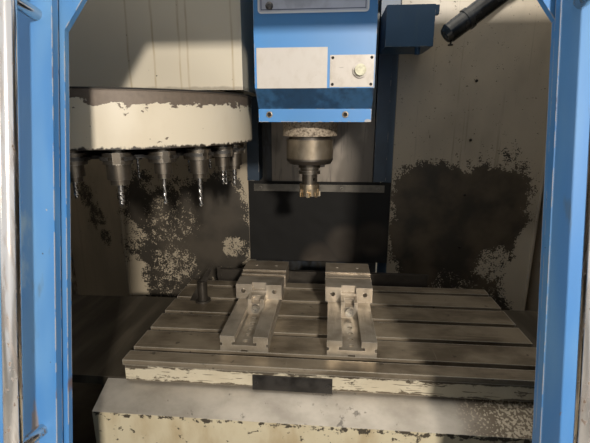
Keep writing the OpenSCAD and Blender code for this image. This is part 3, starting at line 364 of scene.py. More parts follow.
def grimy_cream(name, stain_top, sides, bright_spots, bare=cream_shade, fresh=cream_bright,
                seam=None, dark_spots=(), oil=(oil_black, oil_brown)):
    """Cream wall paint with one big stain between two places along X, all on the faces that look forward,
    and painted shade, a dark brown, where X is less than a seam's place. A spot is its place along X and
    Z and its radius, and a bright one has its strength too."""
    wall = Finish(name)
    forward = wall.step(0.0 - wall.looks("Y"), 0.0, 0.1)
    film = wall.noise(0.30, 4, (1, 1, 1.6))
    colour = wall.mix(wall.step(film, 0.35, 0.70), bare, tuple(0.62 * c for c in bare))
    drips = wall.step(wall.noise(0.02, 3, (1, 1, 26), 2.2), 0.60, 0.72)
    colour = wall.mix(drips * 0.35, colour, (0.16, 0.12, 0.07))
    grain = wall.noise(0.0055, 2, shift=1.9) * 0.55 + wall.noise(0.028, 4, shift=4.9) * 0.45
    lumps = wall.noise(0.16, 3, shift=6.3)
    height = wall.z + (lumps - 0.5) * 0.26
    field = wall.step(0.0 - height, -stain_top - 0.07, -stain_top + 0.07)
    field = field * wall.inside(wall.x + (lumps - 0.5) * 0.14, sides[0], sides[1], 0.06)
    for spot_x, spot_z, spread in dark_spots:
        away = wall.away(spot_x, spot_z) + (lumps - 0.5) * 0.10
        field = field | (1 - wall.step(away, spread * 0.4, spread)) * 0.42
    bright = wall.step(0.0 - height, -stain_foot, -stain_foot + 0.10) * 0.6
    for spot_x, spot_z, spread, strength in bright_spots:
        away = wall.away(spot_x, spot_z) + (lumps - 0.5) * 0.12
        bright = bright | (1 - wall.step(away, spread * 0.35, spread)) * strength
    cover = wall.step(grain + field * 0.46 - bright * 0.40, 0.62, 0.67) * forward
    # Painted shade: the wall is dark brown short of the seam.
    if seam:
        edge_painted_shade = 1 - wall.step(wall.x, seam - 0.0005, seam + 0.0005)
        colour = wall.mix(edge_painted_shade, colour, (0.050, 0.041, 0.030))
    clean = wall.mix(bright * 0.8, colour, fresh)
    tone = wall.mix(wall.step(lumps, 0.35, 0.65), *oil)
    colour = wall.mix(cover, clean, tone)
    specks = wall.step(wall.noise(0.013, 2, shift=8.8), 0.80, 0.82)
    colour = wall.mix(specks, colour, (0.03, 0.027, 0.02))
    rim = wall.edges(0.003)
    colour = wall.mix(rim * 0.35, colour, cream_bright)
    rough = 0.30 + cover * 0.12 + film * 0.15
    relief = grain * 0.3 + cover * 0.5 + wall.noise(0.5, 1) * 8
    return wall.close(colour, rough, 0.0, relief, 0.0004)


right_bright_spots = [(0.84, 0.80, 0.17, 1.0), (0.73, 0.85, 0.14, 0.9), (0.87, 0.93, 0.12, 0.9)]
left_bright_spots = [(-0.62, 1.02, 0.24, 0.62), (-0.365, 0.90, 0.07, 0.9), (-0.60, 0.83, 0.16, 0.75)]
left_dark_spots = [(-1.0, 1.002, 0.09), (-1.073, 1.091, 0.08), (-0.957, 0.909, 0.07)]
left_cream = (0.520, 0.438, 0.318)
left_fresh = (0.380, 0.322, 0.235)
left_oil = ((0.036, 0.030, 0.022), (0.072, 0.059, 0.043))
dress(grimy_cream("right_wall_paint", stain_top_right, (0.330, 0.83), right_bright_spots, seam=0.3015),
      "right_back_wall")
dress(grimy_cream("left_wall_paint", stain_top_left, (-0.80, -0.30), left_bright_spots, left_cream,
                  left_fresh, dark_spots=left_dark_spots, oil=left_oil), "left_back_wall")

# Small round-headed screws that hold the back walls: blackened steel, one row of four at
# the places that show on the right wall.
wall_face_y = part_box("right_back_wall")[0][1]
wall_screw_x = 0.585
wall_screw_heights = (1.569, 1.356, 1.144, 0.929)
black_steel = Finish("blackened_screw")
black_tone = black_steel.mix(black_steel.noise(0.004), (0.012, 0.011, 0.010), (0.05, 0.04, 0.03))
black_oxide = black_steel.close(black_tone, 0.5, 0.6)


def solid_of(name, verts, faces, material, body, slot, smooth=True):
    """A new piece from vertices and faces, dressed and riding on its body."""
    mesh = bpy.data.meshes.new(name)
    mesh.from_pydata([tuple(v) for v in verts], [], [tuple(f) for f in faces])
    mesh.materials.append(material)
    mesh.validate()
    mesh.update()
    if smooth:
        mesh.shade_smooth()
    piece = bpy.data.objects.new(name, mesh)
    bpy.context.scene.collection.objects.link(piece)
    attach(piece, body)
    return piece


def turned(profile, sides):
    """Vertices and faces of a profile of (radius, height) pairs carried round +Z."""
    profile = np.array(profile, float)
    turns = np.linspace(0, 2 * pi, sides, endpoint=False)
    ring = np.stack([np.cos(turns), np.sin(turns)], 1)
    rows = len(profile)
    verts = np.empty((rows, sides, 3))
    verts[:, :, :2] = profile[:, None, :1] * ring[None]
    verts[:, :, 2] = profile[:, None, 1]
    near = np.arange(sides)
    far = (near + 1) % sides
    start = sides * np.arange(rows - 1)[:, None]
    lanes = np.stack([start + near, start + far, start + sides + far, start + sides + near], 2)
    faces = [tuple(f) for f in lanes.reshape(-1, 4)]
    faces.append(tuple(range(sides))[::-1])
    faces.append(tuple(range((rows - 1) * sides, rows * sides)))
    return verts.reshape(-1, 3), faces


def facing(direction, place):
    """The turn and shift that stand a piece's +Z along a direction at a place."""
    turn = Vector(direction).to_track_quat("Z", "Y")
    return Matrix.Translation(place) @ turn.to_matrix().to_4x4()


def many(part, matrices):
    """Copies of one part's vertices and faces, one for each matrix, as a single part."""
    verts, faces = part
    padded = np.c_[verts, np.ones(len(verts))]
    spots = [padded @ np.array(m).T[:, :3] for m in matrices]
    lists = [[tuple(i + n * len(verts) for i in f) for f in faces] for n in range(len(matrices))]
    return np.concatenate(spots), [f for group in lists for f in group]


screw_profile = [(0.0012, 0.0010), (0.0012, 0.0026), (0.0028, 0.0032), (0.0046, 0.0022), (0.0056, 0.0)]
screw_head = turned(screw_profile, 20)
wall_spots = [facing((0, -1, 0), (wall_screw_x, wall_face_y, z)) for z in wall_screw_heights]
solid_of("wall_screws", *many(screw_head, wall_spots), black_oxide, "frame", "dark_steel")

# Work lamp's thumb screw: a thin turned stem with a flat knob, in blackened steel. It is
# screwed up into the lamp's round head from below.
thumb_place = Vector((0.4215, 0.245, 1.655))
thumb_profile = [(0.0075, 0.0), (0.0080, 0.001), (0.0080, 0.004), (0.0030, 0.005), (0.0030, 0.040)]
thumb_screw = turned(thumb_profile, 20)
solid_of("lamp_thumb_screw", *many(thumb_screw, [Matrix.Translation(thumb_place)]), black_oxide,
         "frame", "dark_steel")

# Magazine's sheet cover: folded sheet in cream paint, which hangs over the drum. It is clean
# but for thin brown drip lines, a few chips and a soiled foot.
cover_cream = (0.655, 0.590, 0.465)
drip_brown = (0.36, 0.26, 0.12)
drip_lines = (-0.388, -0.321, -0.300, -0.187, -0.452)
drip_width = 0.0016
cover_foot_z = 1.510
shell = Finish("magazine_cover_paint")
shell_film = shell.step(shell.noise(0.25, 3), 0.4, 0.75)
shell_colour = shell.mix(shell_film * 0.3, cover_cream, (0.52, 0.455, 0.34))
shell_wander = (shell.noise(0.05, 3, (1, 1, 3)) - 0.5) * 0.012
shell_drips = 0.0
for line in drip_lines:
    shell_away = abs(shell.x + shell_wander - line)
    shell_drips = shell_drips | (1 - shell.step(shell_away, drip_width * 0.4, drip_width * 2.6))
shell_colour = shell.mix(shell_drips * (shell.noise(0.06, 2, shift=2.0) * 0.9), shell_colour, drip_brown)
shell_specks = shell.step(shell.noise(0.012, 2, shift=1.2), 0.775, 0.79)
shell_colour = shell.mix(shell_specks, shell_colour, (0.05, 0.04, 0.03))
shell_ragged = (shell.noise(0.02, 4) - 0.5) * 0.01
shell_foot = shell.step(0.0 - shell.z + shell_ragged, -cover_foot_z - 0.006, -cover_foot_z)
shell_colour = shell.mix(shell_foot * 0.5, shell_colour, (0.16, 0.13, 0.09))
shell_rim = shell.edges(0.003)
shell_colour = shell.mix(shell_rim * 0.4, shell_colour, (0.80, 0.76, 0.66))
shell_relief = shell.noise(0.003, 1) * 0.12 - shell_specks
dress(shell.close(shell_colour, 0.36 + shell_drips * 0.1, 0.0, shell_relief, 0.0003),
      "magazine_cover")

# Drum cover of the magazine: cream paint, its upper side worn to brown metal in a ragged band with
# islands of paint, small dark chips, and an oily black lower edge. Its top, under the sheet cover, is
# painted near black as shade.
drum_low, drum_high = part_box("drum_cover")
drum_rim_z = drum_high[2] - 0.005
drum_foot_z = drum_low[2]
drum_worn = (0.205, 0.160, 0.120)
drum = Finish("drum_cover_paint")
drum_film = drum.step(drum.noise(0.12, 4, (1, 1, 1.5)), 0.45, 0.75)
drum_colour = drum.mix(drum_film * 0.35, (0.690, 0.615, 0.480), (0.545, 0.455, 0.320))
drum_stroke = drum.noise(0.060, 8, (1, 1, 0.6), 3.4, 0.66)
drum_near_rim = drum.step(drum.z, drum_rim_z - 0.052, drum_rim_z - 0.004)
drum_bare = drum.step(drum_stroke + drum_near_rim * 0.34 - 0.02, 0.655, 0.668)
drum_tone = drum.mix(drum.noise(0.012, 4), drum_worn, (0.11, 0.085, 0.065))
drum_colour = drum.mix(drum_bare, drum_colour, drum_tone)
drum_chips = drum.step(drum.noise(0.011, 3, shift=6.1), 0.735, 0.755)
drum_ragged = (drum.noise(0.013, 4) - 0.5) * 0.022
drum_edge = drum.step(0.0 - drum.z + drum_ragged, -drum_foot_z - 0.006, -drum_foot_z - 0.002)
drum_dark = drum_chips | drum_edge
drum_colour = drum.mix(drum_dark, drum_colour, (0.045, 0.036, 0.028))
# Painted shade: the top under the sheet cover is near black.
drum_top_shade = drum.step(drum.z, drum_rim_z + 0.0005, drum_rim_z + 0.0015)
drum_colour = drum.mix(drum_top_shade, drum_colour, (0.020, 0.016, 0.012))
drum_rough = 0.33 + drum_bare * 0.2 + drum_top_shade * 0.2
drum_relief = drum.noise(0.004, 2) * 0.2 - (drum_bare | drum_chips) * 0.8
dress(drum.close(drum_colour, drum_rough, drum_bare * 0.2, drum_relief, 0.0004), "drum_cover")

# Bare castings, motors, bars and plates: cast iron and rolled steel, blackened or thinly
# painted when new and dark with oil since, rubbed paler along their edges.


def oily_iron(name, colour, rough=0.5, metal=0.25, size=0.05):
    """Dark machine iron or steel under oil: blotches, fine grain and rubbed edges."""
    iron = Finish(name)
    blotch = iron.step(iron.noise(size, 5), 0.35, 0.72)
    tone = iron.mix(blotch, colour, tuple(0.45 * c for c in colour))
    rim = iron.edges(0.002)
    tone = iron.mix(rim * 0.55, tone, tuple(min(1, 2.1 * c + 0.02) for c in colour))
    relief = iron.noise(0.0025, 2) * 0.3 + blotch * 0.3
    return iron.close(tone, rough - blotch * 0.14, metal, relief, 0.0002)


dress(oily_iron("saddle_iron", (0.10, 0.11, 0.105)), "saddle", "head_casting", "magazine_carriage")
dress(oily_iron("carousel_iron", (0.055, 0.050, 0.044), 0.42, 0.4, 0.03), "carousel")
dress(oily_iron("motor_black", (0.035, 0.035, 0.038), 0.5, 0.0),
      "servo_motors", "x_servo_motor", "spindle_motor")
dress(oily_iron("tray_steel", (0.130, 0.110, 0.082), 0.42, 0.3, 0.12), "chip_tray")
dress(oily_iron("bar_steel", (0.045, 0.038, 0.030), 0.45, 0.3), "rear_bar", "table_post")
dress(oily_iron("plate_steel", (0.040, 0.036, 0.032), 0.45, 0.3, 0.03), "table_front_plate")
dress(oily_iron("clamp_steel", (0.150, 0.135, 0.110), 0.42, 0.5, 0.06), "apron_clamp_strip")
dress(oily_iron("pad_steel", (0.22, 0.21, 0.19), 0.45, 0.7), "leveling_pads")
dress(oily_iron("lamp_steel", (0.085, 0.083, 0.076), 0.30, 0.6), "work_lamp")
dress(oily_iron("screw_steel", (0.45, 0.45, 0.44), 0.30, 0.95),
      "x_ball_screw", "y_ball_screw", "z_ball_screw")

# Strips beside the head's ways: folded sheet fixed to the column's front, in the same blue enamel, nearly
# black with oil and painted shade.
strip_enamel = blue_enamel("strip_enamel", 0.0, 0.1, 0.1, 0.2, (0.020, 0.036, 0.058))
dress(strip_enamel, "column_covers")

# Plate that closes the column below the head: flat sheet that rides down with the head, its grey paint
# grimy, with painted shade making it darker towards the right, and with thin dark runs.
panel = Finish("column_plate_paint")
# Painted shade: the dark blotches grow towards the right.
panel_right_shade = panel.step(panel.x, -0.05, 0.16)
panel_dark = panel.step(panel.noise(0.11, 2, (1, 1, 1.8), 3.8) + panel_right_shade * 0.22, 0.52, 0.66)
panel_colour = panel.mix(panel_dark, (0.280, 0.238, 0.190), (0.150, 0.126, 0.098))
panel_streak = panel.step(panel.noise(0.012, 3, (1, 1, 12)), 0.56, 0.70)
panel_colour = panel.mix(panel_streak * 0.5, panel_colour, (0.06, 0.05, 0.04))
dress(panel.close(panel_colour, 0.4, 0.1, panel.noise(0.4, 1), 0.004), "z_panel")

# Rubber apron behind the gap of the walls: soft black sheet held by a clamp strip, with three brown
# patches of painted light and dust.
apron = Finish("apron_rubber")
apron_light_and_dust = apron.step(apron.noise(0.16, 2, (1, 1, 1), 2.6), 0.46, 0.66)
# Painted light: three soft spots where light falls, dusty brown.
apron_spots = [(0.125, 0.928, 0.10), (0.023, 0.851, 0.10), (0.234, 0.953, 0.09)]
apron_lit = 0.0
for spot_x, spot_z, spread in apron_spots:
    apron_lit = apron_lit | (1 - apron.step(apron.away(spot_x, spot_z), spread * 0.5, spread))
apron_light_and_dust = apron_lit * (0.6 + 0.4 * apron_light_and_dust)
apron_colour = apron.mix(apron_light_and_dust, (0.005, 0.0042, 0.003), (0.060, 0.046, 0.033))
apron_relief = apron.noise(0.18, 2) + apron.noise(0.002, 1) * 0.003
dress(apron.close(apron_colour, 0.85 - apron_light_and_dust * 0.1, 0.0, apron_relief, 0.02), "rubber_apron")

# Table: a ground cast-iron slab, brown with oil, scratched along its length, bright at the
# edges of its T-slots. Its front and ends are painted cream and chipped to the dark iron.
table_low, table_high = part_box("table")
lip_height = 0.014
table_middle_x = 0.078
table_end = 0.499
slab = Finish("table_iron")
slab_cloud = slab.noise(0.14, 5, (1.6, 1, 1), rough=0.6)
slab_colour = slab.mix(slab.step(slab_cloud, 0.38, 0.66), (0.430, 0.355, 0.255), (0.175, 0.138, 0.093))
slab_scratch = slab.step(slab.noise(0.0035, 2, (70, 1, 1)), 0.60, 0.76)
slab_cross = slab.step(slab.noise(0.004, 2, (1, 45, 1), 5.0), 0.66, 0.80)
slab_colour = slab.mix((slab_scratch | slab_cross) * 0.40, slab_colour, (0.66, 0.57, 0.45))
slab_spots = slab.step(slab.noise(0.022, 4, shift=3.3), 0.66, 0.70)
slab_colour = slab.mix(slab_spots * 0.6, slab_colour, (0.045, 0.036, 0.027))
slab_rim = slab.edges(0.0038)
slab_colour = slab.mix(slab_rim * 0.85, slab_colour, (0.95, 0.87, 0.73))
# Darker on every face more than about 2 cm below the top: in the slots and down the sides.
slab_below_top = slab.step(0.0 - slab.z, -table_high[2] + 0.004, -table_high[2] + 0.02)
slab_colour = slab.mix(slab_below_top * 0.5, slab_colour, (0.03, 0.025, 0.02))
slab_face = slab.step(0.0 - slab.z, -table_high[2] + lip_height, -table_high[2] + lip_height + 0.0006)
slab_outer = slab.step(0.0 - slab.y, -table_low[1] - 0.0045, -table_low[1] - 0.0035)
slab_outer = slab_outer | slab.step(slab.y, table_high[1] - 0.0045, table_high[1] - 0.0035)
slab_outer = slab_outer | slab.step(abs(slab.x - table_middle_x), table_end, table_end + 0.0005)
slab_chip = slab.noise(0.020, 8, (3.2, 1, 1), 1.1, 0.78)
slab_upper = slab.inside(slab.z, table_high[2] - lip_height - 0.007, table_high[2] - lip_height, 0.004)
slab_lower = slab.step(0.0 - slab.z, -table_high[2] + 0.047, -table_high[2] + 0.056)
slab_worn = slab.step(slab.x, 0.30, 0.60) * 0.03
slab_kept = 1 - slab.step(slab_chip + (slab_upper | slab_lower) * 0.13 + slab_worn, 0.560, 0.575)
slab_scrape = slab.step(slab.noise(0.0045, 3, (16, 1, 1), 6.6), 0.62, 0.66)
slab_paint = slab_face * slab_outer * slab_kept * (1 - slab_scrape)
slab_cream = slab.mix(slab.noise(0.05, 3), (0.66, 0.60, 0.46), (0.49, 0.42, 0.30))
slab_colour = slab.mix(slab_paint, slab_colour, slab_cream)
slab_rough = 0.34 + slab_cloud * 0.16 - slab_scratch * 0.08 + slab_paint * 0.05
slab_relief = slab.noise(0.003, 2) * 0.15 - slab_scratch * 0.2 + slab_paint * 1.2
dress(slab.close(slab_colour, slab_rough, 0.60 - slab_paint * 0.60, slab_relief, 0.0002), "table")

# Way covers: thin folded steel trays that slide over each other and keep chips off the
# ways, brown with oil and wiped in bands.
tray = Finish("way_cover_steel")
tray_wipe = tray.step(tray.noise(0.10, 4, (0.5, 4, 1), 1.7), 0.42, 0.70)
tray_colour = tray.mix(tray_wipe, (0.085, 0.071, 0.051), (0.165, 0.138, 0.100))
tray_rim = tray.edges(0.002)
tray_colour = tray.mix(tray_rim * 0.6, tray_colour, (0.26, 0.23, 0.19))
tray_rough = 0.36 + tray.noise(0.06, 4) * 0.2
tray_relief = tray.noise(0.25, 1) + tray.noise(0.004, 2) * 0.006
dress(tray.close(tray_colour, tray_rough, 0.45, tray_relief, 0.008),
      "table_way_covers", "mid_way_covers", "fixed_way_covers")

# Saddle's folded front cover: the sloping shoulder is bare rolled steel with smudges, and
# the upright face is cream paint that has flaked along the fold and in scattered chips.
skirt_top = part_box("saddle_front_cover")[1][2]
shoulder_drop = 0.034
skirt = Finish("saddle_cover_finish")
fold_z = skirt_top - shoulder_drop
skirt_face = skirt.step(0.0 - skirt.z, -fold_z - 0.0005, -fold_z + 0.0005)
skirt_brush = skirt.noise(0.005, 2, (1, 26, 26))
skirt_smear = skirt.noise(0.09, 5, (1, 0.7, 1), 4.1, 0.6)
skirt_steel = skirt.mix(skirt.step(skirt_smear, 0.30, 0.75), (0.540, 0.485, 0.400), (0.370, 0.328, 0.268))
skirt_middle = skirt.inside(skirt.x, 0.0, 0.13, 0.06)
skirt_blots = skirt.step(skirt.noise(0.026, 6, (1, 1, 2), 2.9, 0.7) + skirt_middle * 0.07, 0.63, 0.71)
skirt_steel = skirt.mix(skirt_blots * 0.7, skirt_steel, (0.120, 0.108, 0.092))
skirt_end = skirt.step(skirt.x + (skirt.noise(0.10, 3) - 0.5) * 0.1, 0.30, 0.42)
skirt_steel = skirt.mix(skirt_end, skirt_steel, (0.190, 0.150, 0.105))
skirt_flaking = skirt.noise(0.006, 3, shift=4.5) + skirt.step(skirt.x, 0.40, 0.46) * 0.08
skirt_flakes = skirt_end * skirt.step(skirt_flaking, 0.56, 0.60)
skirt_steel = skirt.mix(skirt_flakes, skirt_steel, (0.560, 0.480, 0.350))
skirt_runs = skirt.step(skirt.noise(0.06, 4, (1, 1, 2.5)), 0.42, 0.72)
skirt_cream = skirt.mix(skirt_runs, (0.680, 0.600, 0.420), (0.520, 0.415, 0.255))
skirt_edge = skirt.inside(skirt.z, fold_z - 0.010, fold_z + 0.002, 0.008)
skirt_chip = skirt.step(skirt.noise(0.015, 7, (1.3, 1, 1), 7.2, 0.70) + skirt_edge * 0.13
                        + skirt.step(skirt.x, -0.15, 0.5) * 0.05, 0.630, 0.645)
skirt_cream = skirt.mix(skirt_chip, skirt_cream, (0.085, 0.070, 0.050))
skirt_colour = skirt.mix(skirt_face, skirt_steel, skirt_cream)
skirt_rim = skirt.edges(0.002)
skirt_colour = skirt.mix(skirt_rim * 0.4, skirt_colour, (0.52, 0.49, 0.43))
skirt_metal = 0.70 - skirt_face * 0.65
skirt_rough = 0.34 + skirt_smear * 0.14 + skirt_blots * 0.1 + skirt_brush * 0.06
skirt_relief = skirt_brush * 0.15 - skirt_face * skirt_chip * 1.2
dress(skirt.close(skirt_colour, skirt_rough, skirt_metal, skirt_relief, 0.00025), "saddle_front_cover")

# Vises and tool holders: hardened steel, ground on the vises' beds and jaws with fine lines
# along the wheel's path, turned on the holders and screws, and filmed with oil.


def ground_steel(name, bright, dull, rough=0.36, metal=0.7, grain=(1, 1, 1), size=0.03, rim_glow=0.6):
    """Ground or turned steel: bright metal under patches of dull oil, with rubbed edges."""
    steel = Finish(name)
    patch = steel.step(steel.noise(size, 3, rough=0.5), 0.25, 0.80)
    tone = steel.mix(patch, bright, dull)
    marks = steel.step(steel.noise(0.0016, 2, grain), 0.55, 0.75)
    tone = steel.mix(marks * 0.25, tone, tuple(min(1, 1.5 * c) for c in bright))
    nicks = steel.step(steel.noise(0.007, 4, shift=5.5), 0.70, 0.73)
    tone = steel.mix(nicks * 0.7, tone, tuple(0.35 * c for c in dull))
    rim = steel.edges(0.0014)
    tone = steel.mix(rim * rim_glow, tone, (0.80, 0.75, 0.66))
    return steel.close(tone, rough + patch * 0.12, metal, marks * 0.2 - nicks * 0.4, 0.0001)


jaw_grain, bed_grain = (24, 1, 1), (1, 30, 1)
dress(ground_steel("vise_bed_steel", (0.500, 0.440, 0.355), (0.255, 0.215, 0.160), 0.33, 0.6,
                   bed_grain, 0.05, 0.9), "vise_bodies")
dress(ground_steel("fixed_jaw_steel", (0.400, 0.335, 0.255), (0.210, 0.170, 0.122), 0.33, 0.6,
                   jaw_grain, 0.05, 0.9), "vise_fixed_jaws")
dress(ground_steel("sliding_jaw_steel", (0.500, 0.440, 0.360), (0.270, 0.225, 0.170), 0.33, 0.6,
                   jaw_grain, 0.05, 0.9), "left_vise_jaw", "right_vise_jaw")
dress(ground_steel("vise_screw_steel", (0.42, 0.40, 0.36), (0.20, 0.18, 0.15), 0.3, 0.85),
      "left_vise_screw", "right_vise_screw")
# Painted shade: the holders' steel is made dark for the shade under the magazine's drum, and the
# spindle's holder shares it.
dress(ground_steel("holder_steel", (0.190, 0.162, 0.128), (0.090, 0.074, 0.056), 0.30, 0.85,
                   size=0.03, rim_glow=0.35), "magazine_holders", "tool_holder")

# Spindle housing: a steel cartridge bolted up into the head, with a satin turned nose, and
# above it a ring caked with pale and brown scale from dried coolant.
nose_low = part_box("spindle_cartridge")[0]
ring_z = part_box("head_cover")[0][2] - 0.038
nose = Finish("spindle_nose_steel")
nose_turning = nose.noise(0.0012, 1, (60, 60, 1))
nose_oil = nose.step(nose.noise(0.05, 4, (1, 1, 1.5)), 0.40, 0.70)
nose_colour = nose.mix(nose_oil, (0.37, 0.31, 0.23), (0.21, 0.168, 0.116))
nose_low_part = nose.step(0.0 - nose.z, -nose_low[2] - 0.018, -nose_low[2] - 0.012)
nose_colour = nose.mix(nose_low_part, nose_colour, (0.085, 0.072, 0.060))
nose_neck = nose.inside(nose.z, nose_low[2] + 0.066, ring_z - 0.001, 0.002)
nose_colour = nose.mix(nose_neck, nose_colour, (0.10, 0.085, 0.07))
nose_ring = nose.step(nose.z, ring_z - 0.001, ring_z + 0.001)
nose_scale = nose.step(nose.noise(0.006, 5, shift=3.7, rough=0.6), 0.30, 0.62)
nose_crust = nose.mix(nose_scale, (0.110, 0.082, 0.056), (0.430, 0.355, 0.265))
nose_colour = nose.mix(nose_ring, nose_colour, nose_crust)
nose_rough = 0.32 + nose_turning * 0.08 + nose_ring * 0.3
nose_relief = nose_turning * 0.1 + nose_ring * nose_scale * 1.5
dress(nose.close(nose_colour, nose_rough, 0.75 - nose_ring * 0.6, nose_relief, 0.0003),
      "spindle_cartridge", "spindle")

# Head cover: folded sheet in the same blue enamel, better kept, with a few dark nicks, rusty corners
# where the chamfer meets the band, and painted shade, a dark blue, on the faces that look down.


def painted_shade_below(paint):
    """1 on the cover's faces that look down, which are painted a darker blue as shade."""
    return paint.step(0.0 - paint.looks("Z"), 0.15, 0.30) * 0.85


head_marks = [(-0.122, 1.490, 0.005, 0.012, rust_brown), (0.155, 1.495, 0.005, 0.012, rust_brown),
              (0.149, 1.429, 0.010, 0.006, pale_primer)]
dress(blue_enamel("head_enamel", 0.25, 0.35, 0.0, 0.0, (0.060, 0.258, 0.600), oil_and_shade=painted_shade_below,
                  film=(0.028, 0.076, 0.145), marks=head_marks), "head_cover")

# Plates on the head: two white enamelled ones, dirty and scratched, and the bare nameplate,
# a silvery sheet with a dark line printed round its border.


def enamelled_plate(name, ground, dirt):
    """A pale plate with a thin brown film, scratches and dark specks."""
    plate = Finish(name)
    film = plate.step(plate.noise(0.03, 5, (1, 1, 1.4)), 0.42, 0.75)
    tone = plate.mix(film * dirt, ground, (0.42, 0.36, 0.28))
    fine = plate.step(plate.noise(0.005, 4, (4, 1, 1), 2.3), 0.70, 0.74)
    tone = plate.mix(fine * 0.6, tone, (0.20, 0.17, 0.14))
    rim = plate.edges(0.0012)
    tone = plate.mix(rim * 0.4, tone, (0.35, 0.32, 0.28))
    return plate.close(tone, 0.30 + film * 0.15, 0.0, plate.noise(0.05, 2), 0.0006)


dress(enamelled_plate("blank_plate_enamel", (0.60, 0.555, 0.50), 0.4), "blank_plate")
dress(enamelled_plate("button_plate_enamel", (0.60, 0.545, 0.48), 0.8), "button_plate")
name_low, name_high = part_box("name_plate")
silver = Finish("name_plate_sheet")
silver_across = abs(silver.x - (name_low[0] + name_high[0]) / 2) - (name_high[0] - name_low[0]) / 2
silver_up = abs(silver.z - (name_low[2] + name_high[2]) / 2) - (name_high[2] - name_low[2]) / 2
silver_depth = silver_across | silver_up
silver_line = silver.inside(silver_depth, -0.0085, -0.0068, 0.0004)
silver_film = silver.step(silver.noise(0.04, 4), 0.4, 0.7)
silver_colour = silver.mix(silver_film, (0.60, 0.61, 0.66), (0.46, 0.465, 0.50))
silver_colour = silver.mix(silver_line, silver_colour, (0.055, 0.075, 0.13))
silver_colour = silver.mix(silver.step(silver_depth, -0.0045, -0.0035), silver_colour, (0.74, 0.74, 0.72))
dress(silver.close(silver_colour, 0.34, 0.35, silver.noise(0.0012, 1, (30, 1, 1)), 0.00005), "name_plate")

# Screws of the head: two socket screws with washers in the cover's band, four small ones in
# the button's plate, and one larger dome that holds the nameplate.
cover_front_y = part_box("head_cover")[0][1]
band_y = cover_front_y + 0.045
band_z = 1.4455
band_screws = [facing((0, -1, 0), (x, band_y, band_z)) for x in (-0.094, 0.092)]
washer = turned([(0.0040, 0.0002), (0.0040, 0.0012), (0.0078, 0.0012), (0.0082, 0.0)], 28)
socket_profile = [(0.0022, 0.0010), (0.0024, 0.0034), (0.0046, 0.0038), (0.0052, 0.0030), (0.0054, 0.0)]
socket_head = turned(socket_profile, 24)
washer_steel = ground_steel("washer_steel", (0.42, 0.37, 0.30), (0.24, 0.19, 0.14), size=0.006)
solid_of("band_washers", *many(washer, band_screws), washer_steel, "head", "bare_steel")
solid_of("band_screws", *many(socket_head, band_screws), black_oxide, "head", "dark_steel")
button_low, button_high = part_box("button_plate")
plate_front_y = cover_front_y - 0.0015
corner_in = 0.006
plate_screws = [facing((0, -1, 0), (x, plate_front_y, z))
                for x in (button_low[0] + corner_in, button_high[0] - corner_in)
                for z in (button_low[2] + corner_in, button_high[2] - corner_in)]
small_head = turned([(0.0009, 0.0004), (0.0010, 0.0014), (0.0026, 0.0016), (0.0034, 0.0)], 18)
solid_of("plate_screws", *many(small_head, plate_screws), black_oxide, "head", "dark_steel")
dome = turned([(0.0004, 0.0044), (0.0040, 0.0040), (0.0072, 0.0026), (0.0088, 0.0)], 28)
name_screw_x, name_screw_z = -0.084, 1.6785
name_screw = facing((0, -1, 0), (name_screw_x, plate_front_y, name_screw_z))
solid_of("nameplate_screw", *many(dome, [name_screw]),
         oily_iron("dome_iron", (0.13, 0.12, 0.11), 0.4, 0.5, 0.006), "head", "dark_steel")

# Push button: a cap moulded in ivory plastic and yellowed with age, which travels in a bezel
# on the button's plate.
ivory = Finish("ivory_plastic")
ivory_age = ivory.step(ivory.noise(0.008, 3), 0.35, 0.7)
ivory_colour = ivory.mix(ivory_age, (0.68, 0.65, 0.46), (0.47, 0.43, 0.27))
dress(ivory.close(ivory_colour, 0.28, 0.0, ivory.noise(0.003, 2), 0.00015, 0.3), "push_button")

# Face mill: a turned steel body held in the spindle's tool holder, with gold-coloured square
# carbide inserts screwed into pockets round its rim.
mill_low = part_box("face_mill")[0]
dress(ground_steel("mill_body_steel", (0.62, 0.50, 0.34), (0.36, 0.27, 0.17), 0.26, 0.9, size=0.012),
      "face_mill")
insert_count = 7
insert_half = 0.0062
insert_thick = 0.0042
insert_bevel = 0.0011
insert_reach = 0.0232
gold = Finish("insert_coating")
gold_colour = gold.mix(gold.step(gold.noise(0.004, 3), 0.4, 0.7), (0.90, 0.68, 0.38), (0.55, 0.36, 0.18))
gold_coating = gold.close(gold_colour, 0.22, 0.95, gold.noise(0.002, 1), 0.0001)


def chamfered_tile(half, thick, bevel):
    """A square tile with a bevelled front edge and a dimple for its screw, along +Z: rings of
    four corners, each ring given by its half width and its height."""
    rings = [(half, 0.0), (half, thick - bevel), (half - bevel, thick),
             (half * 0.42, thick), (half * 0.3, thick - bevel)]
    corners = np.array([(1, 1), (-1, 1), (-1, -1), (1, -1)], float)
    verts = np.concatenate([np.c_[corners * r, np.full(4, z)] for r, z in rings])
    faces = [(4 * r + i, 4 * r + (i + 1) % 4, 4 * r + 4 + (i + 1) % 4, 4 * r + 4 + i)
             for r in range(4) for i in range(4)]
    return verts, faces + [(3, 2, 1, 0), (16, 17, 18, 19)]


insert_side = 0.0052
insert_clear = 0.0004
insert_seat = Matrix.Translation((insert_reach, insert_side, mill_low[2] + insert_half + insert_clear))
insert_spots = [Matrix.Rotation(2 * pi * n / insert_count, 4, "Z") @ insert_seat
                @ Matrix.Rotation(-pi / 2, 4, "X") for n in range(insert_count)]
insert_tile = chamfered_tile(insert_half, insert_thick, insert_bevel)
solid_of("mill_inserts", *many(insert_tile, insert_spots), gold_coating, "spindle", "gold_inserts",
         smooth=False)

